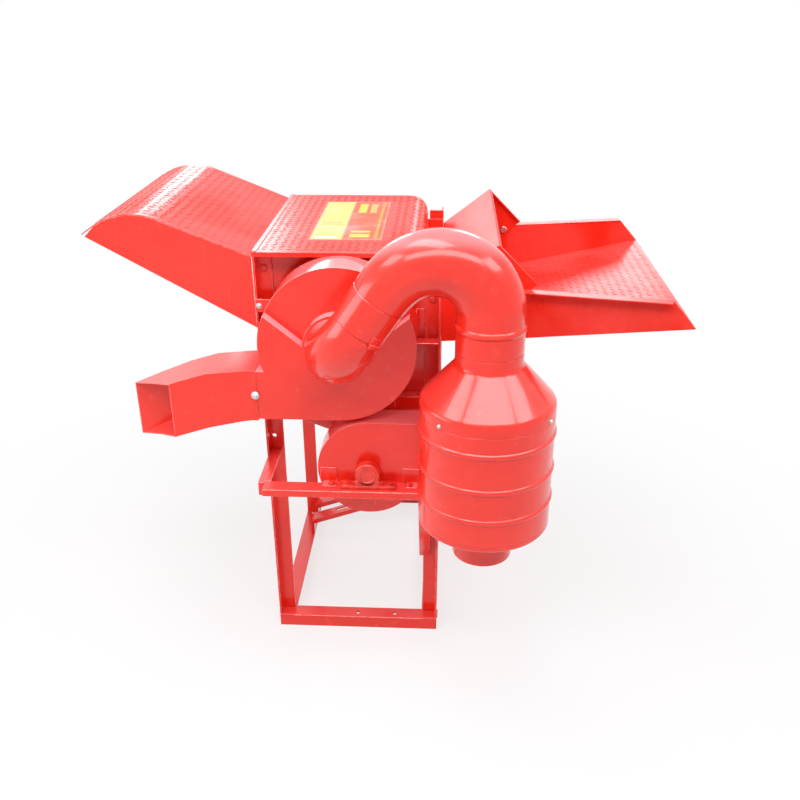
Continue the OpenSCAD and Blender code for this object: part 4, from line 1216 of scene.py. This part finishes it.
@dataclass
class Fasteners:
    """Hexagon bolts, washers and nuts, painted over or plated.

    Sizes are in millimetres. A bearing's feet are the x and the y of its bolts and the
    height of their seats, and a pivot's seats are its outer and inner y and its side.
    """

    bench: Workbench
    head_r: float = 7.0
    head_h: float = 4.7
    shank_r: float = 3.9
    thrower_feet: tuple[Pair, Pair, float] = ((-1, 85), (-122, 485), 460)
    drum_feet: tuple[Pair, Pair, float] = ((-55, 31), (12, 454), 717)
    rail: float = 12.0
    foot_grip: float = 17.0
    casing_clips: Pair = (-29, 123)
    clip_seat: Pair = (-118, 455)
    clip_grip: float = 7.0
    plate_bolts: tuple[tuple[float, tuple[float, ...]], ...] = (
        (164, (723, 790, 850)), (-164, (660, 760, 850)),
    )
    plate_y: float = 26.0
    pivot: Pair = (322, 812)
    pivot_seats: tuple[tuple[float, float, int], ...] = ((-4.9, 0.2, -1), (470.9, 465.8, 1))
    lug_bolt: Point = (-172, -7, 784)
    fan_bolt: Point = (-171, -104.3, 638)
    ring_at: Point = (266, -192, 670.5)
    ring_r: float = 122.2
    ring_degs: tuple[float, ...] = (98, 226, 330)

    def build(self) -> None:
        """Makes the painted set and the bright set."""
        self._painted()
        self._bright()

    def _painted(self) -> None:
        """Makes the bolts of the bearings, the clips and the side plate."""
        up, down, front = Vector((0, 0, 1)), Vector((0, 0, -1)), Vector((0, -1, 0))
        bm = bmesh.new()
        for xs, ys, z in (self.thrower_feet, self.drum_feet):
            for x in xs:
                for y in ys:
                    self._bolt(bm, mm(x, y, z), up, self.foot_grip)
                    self._bolt(bm, mm(x, y, z - self.rail), down)
        y, z = self.clip_seat
        for x in self.casing_clips:
            self._bolt(bm, mm(x, y, z), up, self.rail)
            self._bolt(bm, mm(x, y, z - self.clip_grip), down)
        for x, heights in self.plate_bolts:
            for z in heights:
                self._bolt(bm, mm(x, self.plate_y, z), front)
        self.bench.finish(
            "painted_fasteners", bm, Body.MACHINE, Slot.PAINT, self.bench.paint.cast,
            replaces=("painted_bolts",),
        )

    def _bright(self) -> None:
        """Makes the plated bolts of the tray, the fan and the separator's ring."""
        front = Vector((0, -1, 0))
        x, z = self.pivot
        bm = bmesh.new()
        for seat_y, inner_y, side in self.pivot_seats:
            out, inner = Vector((0, side, 0)), mm(x, inner_y, z)
            self._bolt(bm, mm(x, seat_y, z), out)
            prism(bm, inner, -out, 7.8, 4.6, 24)
            prism(bm, inner, out, self.shank_r, 9.0, 20)
        self._bolt(bm, mm(*self.lug_bolt), front, 4.8, radius=4.6, height=4.0)
        self._bolt(bm, mm(*self.fan_bolt), front, 4.0)
        for degrees in self.ring_degs:
            a = math.radians(degrees)
            out = Vector((math.cos(a), math.sin(a), 0))
            at = mm(*self.ring_at) + out * (self.ring_r * MM)
            self._bolt(bm, at, out, radius=2.9, height=3.4)
        self.bench.finish(
            "bright_fasteners", bm, Body.MACHINE, Slot.STEEL, replaces=("bright_bolts",)
        )

    def _bolt(
        self,
        bm: bmesh.types.BMesh,
        at: Vector,
        out: Vector,
        grip: float = 0.0,
        radius: float | None = None,
        height: float | None = None,
    ) -> None:
        """Adds a washer, a hexagon head with the thread's end, and any shank.

        Args:
            bm: the mesh that takes the bolt.
            at: the middle of its seat, in metres.
            out: the direction that the head looks.
            grip: the shank's length below the seat in millimetres.
            radius: the head's radius over corners, or nothing for the usual one.
            height: the head's height with its washer, or nothing for the usual one.
        """
        wide, tall = radius or self.head_r, height or self.head_h
        prism(bm, at, out, wide + 1.2, 0.9, 28)
        prism(bm, at + out * 0.0008, out, wide, tall - 1.1, 6)
        prism(bm, at + out * ((tall - 0.5) * MM), out, 0.52 * wide, 0.7, 18)
        if grip:
            prism(bm, at, -out, self.shank_r, grip, 16)


# ------------------------------------------------------------------- castings


@dataclass
class Bearings:
    """Cast pillow blocks of the thrower shaft and the drum shaft."""

    bench: Workbench
    length: float = 110.0
    width: float = 24.0
    pad_x: float = 43.0
    cast_edge: float = 1.6

    def build(self) -> None:
        """Makes both pairs of blocks."""
        self._pair(
            "thrower_blocks", "thrower_bearings", (42, 30, 10.05, 24.5),
            ((-122, 452), (485, 452)), True,
        )
        self._pair(
            "drum_blocks", "drum_bearings", (-12, 27, 15.05, 26.5), ((12, 709), (454, 709)), False
        )

    def _pair(
        self,
        name: str,
        node: str,
        sizes: tuple[float, float, float, float],
        places: Sequence[Pair],
        capped: bool,
    ) -> None:
        """Makes one pair of blocks as a single piece.

        Args:
            name: the piece's name.
            node: the CAD node that it stands for.
            sizes: the shaft's x and height over the foot, the bore's radius and the
                housing's radius, in millimetres.
            places: each block's (y, foot height).
            capped: whether a cover closes the first block's front.
        """
        x, up, bore, dome = sizes
        bm = bmesh.new()
        for i, (y, z) in enumerate(places):
            self._base(bm, (x, y, z), up, dome)
            self._housing(bm, mm(x, y, z + up), bore, dome, capped and i == 0)
            prism(bm, mm(x, y, z + up + dome - 1.5), Vector((0, 0, 1)), 3.0, 1.4, 12)
        self.bench.finish(
            name, bm, Body.MACHINE, Slot.PAINT, self.bench.paint.cast, replaces=(node,), crease=40.0
        )

    def _base(
        self, bm: bmesh.types.BMesh, at: Point, up: float, dome: float
    ) -> None:
        """Adds the foot, the raised bolt pads and the waist, with cast edges.

        Args:
            bm: the mesh that takes them.
            at: the middle of the foot's underside in millimetres.
            up: the shaft's height over the foot.
            dome: the housing's radius.
        """
        x, y, z = at
        half, end = self.width / 2, self.length / 2
        made = block(bm, (x - end, y - half, z), (x + end, y + half, z + 7.4))
        made += block(bm, (x - dome, y - half + 2, z), (x + dome, y + half - 2, z + 0.6 * up))
        made += block(bm, (x - dome - 6, y - 5, z + 6), (x + dome + 6, y + 5, z + 13))
        bevelled(bm, edges_at(made), self.cast_edge * MM, 3)
        for s in (-self.pad_x, self.pad_x):
            prism(bm, mm(x + s, y, z + 7), Vector((0, 0, 1)), 10.5, 1.0, 28)

    def _housing(
        self, bm: bmesh.types.BMesh, at: Vector, bore: float, dome: float, capped: bool
    ) -> None:
        """Spins the round housing with its ringed face.

        Args:
            bm: the mesh that takes it.
            at: the middle of the bore in metres.
            bore: the bore's radius in millimetres.
            dome: the housing's radius.
            capped: whether the front is closed.
        """
        half = self.width / 2
        back = [
            (bore, half - 0.6), (bore + 1, half), (dome - 9, half), (dome - 7, half - 1.6),
            (dome - 2, half - 2), (dome, half - 4), (dome, 4 - half), (dome - 2, 2 - half),
            (dome - 6.6, 2 - half), (dome - 7, 0.8 - half), (dome - 8.4, -half),
            (dome - 10.2, -half), (dome - 11.5, 1.2 - half),
        ]
        if capped:
            outline = [(0.0, 3 - half), (bore, 3 - half)] + back
            outline += [(3.0, 1.2 - half), (2.2, 0.3 - half), (0.0, 0.2 - half)]
        else:
            outline = back + [(bore + 1.2, 1.2 - half), (bore, 1.6 - half)]
        lathe(bm, outline, at, Vector((0, 1, 0)), 64)


@dataclass
class BeltDrive:
    """Grooved pulleys, the V-belt and the turned shafts."""

    bench: Workbench
    belt_y: float = 514.0
    drum: Pair = (-12.0, 736.0)
    thrower: Pair = (42.0, 482.0)
    drum_r: float = 75.0
    thrower_r: float = 45.0

    def build(self) -> None:
        """Makes the pulleys, the shafts and the belt."""
        for name, node, at, radii, grooves, body in (
            ("drum_sheave", "drum_pulley", self.drum, (self.drum_r, 15.05), 2, Body.DRUM),
            (
                "thrower_sheave", "thrower_pulley", self.thrower, (self.thrower_r, 10.05), 1,
                Body.THROWER,
            ),
        ):
            self._pulley(name, node, at, radii, grooves, body)
        self._shaft("drum_spindle", "drum_shaft", self.drum, 15.0, (-75.0, 542.0), Body.DRUM)
        self._shaft(
            "thrower_spindle", "thrower_shaft", self.thrower, 10.0, (-130.0, 526.0), Body.THROWER
        )
        self._belt()

    def _pulley(
        self,
        name: str,
        node: str,
        at: Pair,
        radii: Pair,
        grooves: int,
        body: Body,
    ) -> None:
        """Spins one cast pulley with wedge-shaped grooves and a thinner web.

        Args:
            name: the piece's name.
            node: the CAD node that it stands for.
            at: the axis' x and z in millimetres.
            radii: the pitch radius and the bore's radius.
            grooves: the number of grooves.
            body: the body that it turns with.
        """
        pitch, bore = radii
        rim, first, last = pitch + 4, -8.8, 8.8 + 16 * (grooves - 1)
        outline = [(bore, last), (bore, first), (bore + 10, first), (bore + 11, first + 1)]
        outline += [(bore + 11, first + 5), (rim - 15, first + 5), (rim - 13, first)]
        outline += [(rim - 1, first), (rim, first + 1)]
        for i in range(grooves):
            mid = 16 * i
            outline += [(rim, mid - 5.8), (pitch - 4.3, mid - 4.2), (pitch - 4.3, mid + 4.2)]
            outline += [(rim, mid + 5.8)]
        outline += [(rim, last - 1), (rim - 1, last), (rim - 13, last), (rim - 15, last - 5)]
        outline += [(bore + 11, last - 5), (bore + 11, last - 1), (bore + 10, last)]
        bm = bmesh.new()
        lathe(bm, outline, mm(at[0], self.belt_y, at[1]), Vector((0, 1, 0)))
        self.bench.finish(name, bm, body, Slot.STEEL, replaces=(node,))

    def _shaft(
        self,
        name: str,
        node: str,
        at: Pair,
        radius: float,
        ends: Pair,
        body: Body,
    ) -> None:
        """Spins a shaft with chamfered ends and centre holes.

        Args:
            name: the piece's name.
            node: the CAD node that it stands for.
            at: the axis' x and z in millimetres.
            radius: the shaft's radius.
            ends: the y of both ends.
            body: the body that it turns with.
        """
        low, high = ends
        outline = [(0.0, low + 2.5), (2.2, low), (radius - 1, low), (radius, low + 1)]
        outline += [(radius, high - 1), (radius - 1, high), (2.2, high), (0.0, high - 2.5)]
        bm = bmesh.new()
        lathe(bm, outline, mm(at[0], 0, at[1]), Vector((0, 1, 0)), 48)
        self.bench.finish(name, bm, body, Slot.STEEL, replaces=(node,))

    def _belt(self) -> None:
        """Carries the belt's wedge section round both pulleys."""
        run = Vector(self.thrower) - Vector(self.drum)
        way = math.atan2(run.y, run.x)
        swing = math.acos((self.drum_r - self.thrower_r) / run.length)
        turns = [(self.drum, self.drum_r, way + swing, way + math.tau - swing, 60)]
        turns += [(self.thrower, self.thrower_r, way - swing, way + swing, 40)]
        section = ((-3.6, -3.8), (2.3, -5.3), (2.9, -4.7), (2.9, 4.7), (2.3, 5.3), (-3.6, 3.8))
        rings = []
        for (x, z), radius, start, end, steps in turns:
            for i in range(steps + 1):
                a = start + (end - start) * i / steps
                rings.append([
                    mm(
                        x + (radius + rise) * math.cos(a), self.belt_y + across,
                        z + (radius + rise) * math.sin(a),
                    )
                    for rise, across in section
                ])
        bm = bmesh.new()
        loft(bm, rings)
        self.bench.finish("wedge_belt", bm, Body.MACHINE, Slot.RUBBER, replaces=("drive_belt",))


# -------------------------------------------------------------- tread pattern


@dataclass(frozen=True)
class Plate:
    """One chequered plate: its line in the side view, its width and where it is bare."""

    name: str
    body: Body
    line: tuple[Pair, ...]
    low_y: float
    high_y: float
    flare_x: float = 1e6
    flare: float = 0.0
    bare: tuple[float, float, float, float] | None = None

    def is_bare(self, x: float, y: float) -> bool:
        """Tells whether the plate carries no lozenges at a place.

        Args:
            x: the place's x in millimetres.
            y: the place's y in millimetres.

        Returns:
            True where it is bare.
        """
        if self.bare is None:
            return False
        x_low, x_high, y_low, y_high = self.bare
        return x_low < x < x_high and y_low < y < y_high


@dataclass
class TreadPattern:
    """Raised lozenges on the chequered plates, laid along each plate's bend.

    A line holds a plate's two ends and a bend its centre and radius, in the side view.
    """

    bench: Workbench
    pitch: float = 16.0
    length: float = 15.0
    width: float = 4.6
    rise: float = 0.75
    sunk: float = 0.8
    cover_line: tuple[Pair, Pair] = ((-168.0, 890.0), (143.0, 846.0))
    cover_bend: tuple[float, float, float] = (105.0, 852.0, 38.0)
    hood_line: tuple[Pair, Pair] = ((-188.0, 883.6), (-498.0, 923.0))
    hood_crest: tuple[float, float, float] = (-404.0, 825.0, 135.0)
    tray_line: tuple[Pair, Pair] = ((338.0, 724.6), (645.0, 771.5))

    def build(self) -> None:
        """Covers the top cover, the straw hood and the tray's floor."""
        first, last = self.cover_line
        bend = self._arc(self.cover_bend, 90, 0, 12)
        self._lay(Plate(
            "cover_tread", Body.COVER, (first, *bend, last), 2.0, 464.0, bare=(-92, 70, 76, 409)
        ))
        first, last = self.hood_line
        crest = self._arc(self.hood_crest, 68, 124, 14)
        self._lay(Plate("hood_tread", Body.MACHINE, (first, *crest, last), 4.0, 462.0))
        self._lay(Plate("tray_tread", Body.TRAY, self.tray_line, 2.0, 464.0, 347.0, 0.2))

    @staticmethod
    def _arc(
        circle: tuple[float, float, float], first: float, last: float, steps: int
    ) -> list[Pair]:
        """Draws an arc in the side view.

        Args:
            circle: its centre's x and z and its radius, in millimetres.
            first: the angle over the horizontal that it starts at, in degrees.
            last: the angle that it ends at.
            steps: the parts that it is drawn in.

        Returns:
            Its points.
        """
        x, z, radius = circle
        angles = [math.radians(first + (last - first) * i / steps) for i in range(steps + 1)]
        return [(x + radius * math.cos(a), z + radius * math.sin(a)) for a in angles]

    def _lay(self, plate: Plate) -> None:
        """Lays lozenges in rows, each turned against its neighbours.

        Args:
            plate: the plate to cover.
        """
        points = [Vector(p) for p in plate.line]
        marks = [0.0]
        for a, b in zip(points, points[1:]):
            marks.append(marks[-1] + (b - a).length)
        columns = int(marks[-1] / self.pitch)
        bm = bmesh.new()
        for i in range(columns):
            along = (i + 0.5) * marks[-1] / columns
            k = max(n for n in range(len(points) - 1) if marks[n] <= along)
            way = (points[k + 1] - points[k]).normalized()
            spot = points[k] + way * (along - marks[k])
            up = Vector((-way.y, way.x)) if way.x > 0 else Vector((way.y, -way.x))
            wider = max(0.0, spot.x - plate.flare_x) * plate.flare
            rows = int((plate.high_y - plate.low_y + 2 * wider) / self.pitch)
            for j in range(rows):
                y = (plate.low_y + plate.high_y) / 2 + (j - (rows - 1) / 2) * self.pitch
                if plate.is_bare(spot.x, y):
                    continue
                turn = math.radians(45 if (i + rows // 2 - j) % 2 else -45)
                at = mm(spot.x, y, spot.y)
                place = facing(at, Vector((up.x, 0, up.y)), Vector((way.x, 0, way.y)))
                self._lozenge(bm, place, turn)
        self.bench.finish(plate.name, bm, plate.body, Slot.TREAD, crease=20.0)

    def _lozenge(self, bm: bmesh.types.BMesh, place: Matrix, turn: float) -> None:
        """Adds one lozenge with sloping flanks.

        Args:
            bm: the mesh that takes it.
            place: the placing on the plate, with Z out of it.
            turn: the turn about Z in radians.
        """
        height = self.rise + self.sunk
        shape = (
            place @ Matrix.Rotation(turn, 4, "Z")
            @ Matrix.Translation(mm(0, 0, height / 2 - self.sunk))
            @ Matrix.Diagonal((self.length / 2 * MM, self.width / 2 * MM, height * MM, 1.0))
        )
        bmesh.ops.create_cone(
            bm, cap_ends=True, segments=6, radius1=1.15, radius2=0.62, depth=1.0, matrix=shape
        )


@dataclass
class CoverPanel:
    """A plain printed film of coloured fields on the top cover."""

    bench: Workbench
    base: float = 890.0
    film: float = 0.35
    layer: float = 0.08
    fields: tuple[tuple[float, float, float, float, Colour], ...] = (
        (-84, 60, 85, 400, (0.88, 0.30, 0.18)),
        (-81, -20, 88, 397, (0.93, 0.66, 0.17)),
        (-17, 57, 88, 397, (0.83, 0.10, 0.03)),
        (44, 50, 96, 389, (0.90, 0.32, 0.03)),
        (-6, 34, 104, 128, (0.90, 0.62, 0.06)),
        (-6, 34, 140, 152, (0.90, 0.62, 0.06)),
        (-6, 12, 300, 380, (0.90, 0.62, 0.06)),
        (20, 34, 300, 380, (0.90, 0.45, 0.10)),
        (-74, -30, 96, 108, (0.55, 0.72, 0.88)),
        (-74, -30, 200, 206, (0.88, 0.40, 0.10)),
        (-74, -30, 216, 222, (0.88, 0.40, 0.10)),
    )

    def build(self) -> None:
        """Makes the panel from thin coloured fields, each a little above the last."""
        bm = bmesh.new()
        ink = bm.loops.layers.float_color.new("ink")
        for i, (x0, x1, y0, y1, colour) in enumerate(self.fields):
            level = 2 if i > 2 else min(i, 1)
            top = self.base + self.film + self.layer * level
            made = block(bm, (x0, y0, self.base), (x1, y1, top))
            for face in {f for v in made for f in v.link_faces}:
                for loop in face.loops:
                    loop[ink] = (*colour, 1.0)
        self.bench.finish(
            "cover_panel", bm, Body.COVER, Slot.TREAD, self.bench.paint.print, crease=10.0
        )


@dataclass
class WeldBeads:
    """Hand-laid welds where rails and straps meet the legs."""

    bench: Workbench
    radius: float = 2.3
    pitch: float = 2.6
    seed: int = 7
    runs: tuple[tuple[Point, Point], ...] = (
        ((-178, -2.0, 30.5), (-150, -2.0, 30.5)),
        ((150, -2.0, 30.5), (178, -2.0, 30.5)),
        ((-180.0, 29, 30.5), (-180.0, 4, 30.5)),
        ((180.0, 4, 30.5), (180.0, 29, 30.5)),
        ((-176, 20, 421.5), (-176, -1, 421.5)),
        ((141, 25.6, 221), (163, 25.6, 221)),
        ((141, 25.6, 195), (163, 25.6, 195)),
    )

    def build(self) -> None:
        """Makes every run of weld as one painted piece."""
        draw = random.Random(self.seed)
        bm = bmesh.new()
        for first, last in self.runs:
            a, b = mm(*first), mm(*last)
            count = max(2, round((b - a).length / (self.pitch * MM)))
            for i in range(count + 1):
                at = a.lerp(b, i / count)
                size = self.radius * draw.uniform(0.85, 1.15) * MM
                turn = facing(at, b - a) @ Matrix.Diagonal((size, size, 0.8 * size, 1.0))
                bmesh.ops.create_uvsphere(bm, u_segments=10, v_segments=6, radius=1.0, matrix=turn)
        self.bench.finish("weld_beads", bm, Body.MACHINE, Slot.PAINT, crease=80.0)


# ------------------------------------------------------------------- studio


@dataclass(frozen=True)
class Lamp:
    """One area lamp: its place, the point it faces, its size in metres and its watts."""

    name: str
    at: Point
    to: Point
    size: Pair
    watts: float


@dataclass
class Studio:
    """Camera, soft lights and the pale floor, in metres and degrees."""

    focal_px: float = 894.8
    frame_px: float = 800.0
    sensor_mm: float = 36.0
    camera_at: Point = (0.18926, -1.6280, 1.37211)
    pitch: float = 25.806
    yaw: float = -3.149
    roll: float = -0.349
    far: float = 100.0
    lamp_colour: Colour = (1.0, 0.95, 0.98)
    air_colour: Colour = (1.0, 0.985, 0.98)
    air_strength: float = 0.20
    white: tuple[float, float, float, float] = (1.0, 1.0, 1.0, 1.0)
    floor_size: float = 9.0
    floor_greys: tuple[Colour, Colour] = ((0.80, 0.80, 0.80), (0.83, 0.83, 0.83))
    floor_cloud: Grain = Grain(3.0)
    floor_roughness: float = 0.6
    fade_band: Pair = (0.3, 1.6)
    fade_least: float = 0.72
    lamps: tuple[Lamp, ...] = (
        Lamp("key_softbox", (0.3, -1.8, 2.9), (0.1, 0.0, 0.7), (3.6, 0.8), 62.0),
        Lamp("key_left_wing", (-1.9, -0.9, 2.7), (0.1, 0.0, 0.7), (1.3, 0.8), 20.0),
        Lamp("key_right_wing", (2.4, -0.7, 2.6), (0.1, 0.0, 0.7), (1.5, 0.8), 25.0),
        Lamp("left_window", (-2.8, -0.7, 1.3), (0.0, -0.2, 0.8), (1.9, 0.8), 20.0),
        Lamp("top_softbox", (-0.25, -0.35, 3.2), (0.0, -0.1, 0.8), (1.9, 0.9), 36.0),
        Lamp("rear_window_left", (-1.5, 5.0, 2.2), (0.0, 0.2, 0.8), (0.85, 1.1), 28.0),
        Lamp("rear_window_right", (1.2, 5.0, 2.45), (0.0, 0.2, 0.8), (1.0, 0.9), 22.0),
    )

    def build(self) -> None:
        """Sets up the whole studio."""
        self._camera()
        self._world()
        self._floor()
        for lamp in self.lamps:
            self._hang(lamp)
        bpy.context.scene.view_settings.view_transform = "Standard"

    def _camera(self) -> None:
        """Places the camera where the photograph was taken from."""
        p, y, r = (math.radians(a) for a in (self.pitch, self.yaw, self.roll))
        ahead = Vector((math.sin(y) * math.cos(p), math.cos(y) * math.cos(p), -math.sin(p)))
        right = Vector((math.cos(y), -math.sin(y), 0.0))
        up = right.cross(ahead)
        side = math.cos(r) * right + math.sin(r) * up
        top = -math.sin(r) * right + math.cos(r) * up
        data = bpy.data.cameras.new("photo_camera")
        data.sensor_width = self.sensor_mm
        data.lens = self.focal_px / self.frame_px * self.sensor_mm
        data.clip_end = self.far
        camera = in_scene("photo_camera", data)
        turn = Matrix((side, top, -ahead)).transposed().to_4x4()
        camera.matrix_world = Matrix.Translation(self.camera_at) @ turn
        bpy.context.scene.camera = camera

    def _world(self) -> None:
        """Lights the room evenly and shows white behind the object."""
        world = bpy.data.worlds.new("studio_air")
        bpy.context.scene.world = world
        g = Graph(world)
        plain = g.add("ShaderNodeBackground", None, {
            "Color": (*self.air_colour, 1.0), "Strength": self.air_strength,
        })
        white = g.add("ShaderNodeBackground", None, {"Color": self.white, "Strength": 1.0})
        blend = g.add("ShaderNodeMixShader", None, {0: g.backdrop_rays(), 1: plain, 2: white})
        g.add_output(blend, "ShaderNodeOutputWorld")

    def _floor(self) -> None:
        """Lays a pale floor that fades to white away from the object."""
        bm = bmesh.new()
        bmesh.ops.create_grid(bm, x_segments=1, y_segments=1, size=self.floor_size)
        floor = in_scene("floor", as_mesh("floor", bm))
        g = Graph.of_material("pale_floor")
        place = g.place()
        colour = g.mix(g.noise(place, self.floor_cloud), *self.floor_greys)
        matt = g.add("ShaderNodeBsdfPrincipled", None, {
            "Base Color": colour, "Roughness": self.floor_roughness,
        })
        white = g.add("ShaderNodeEmission", None, {"Color": self.white, "Strength": 1.0})
        far = g.add("ShaderNodeVectorMath", {"operation": "LENGTH"}, {0: place}, "Value")
        whitening = far.step(*self.fade_band) * (1 - self.fade_least) + self.fade_least
        rays = g.backdrop_rays()
        g.add_output(g.add("ShaderNodeMixShader", None, {0: rays * whitening, 1: matt, 2: white}))
        floor.data.materials.append(g.owner)

    def _hang(self, lamp: Lamp) -> None:
        """Hangs one area lamp.

        Args:
            lamp: the lamp.
        """
        data = bpy.data.lights.new(lamp.name, "AREA")
        data.shape = "RECTANGLE"
        data.size, data.size_y = lamp.size
        data.energy = lamp.watts
        data.color = self.lamp_colour
        light = in_scene(lamp.name, data)
        light.location = lamp.at
        way = Vector(lamp.to) - Vector(lamp.at)
        light.rotation_euler = way.to_track_quat("-Z", "Y").to_euler()


def dress_plain_nodes(paint: Paintshop) -> None:
    """Gives its slot's finish to every CAD node that still shows."""
    for node, obj in frame["nodes"].items():
        obj.data.materials.clear()
        obj.data.materials.append(paint.of_slot(slot_of_node(node)))


def main() -> None:
    """Builds every sub-assembly in order and notes the sizes."""
    logging.basicConfig(level=logging.INFO, format="%(name)s: %(message)s")
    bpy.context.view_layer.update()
    paint = Paintshop()
    bench = Workbench(paint)
    dress_plain_nodes(paint)
    for assembly in (
        SheetMetal(bench), SuctionPipe(bench), Separator(bench), Bearings(bench),
        BeltDrive(bench), Fasteners(bench), TreadPattern(bench), CoverPanel(bench),
        WeldBeads(bench),
    ):
        assembly.build()
    Studio().build()
    LOG.info("%d pieces", bench.made)


if __name__ == "__main__":
    main()
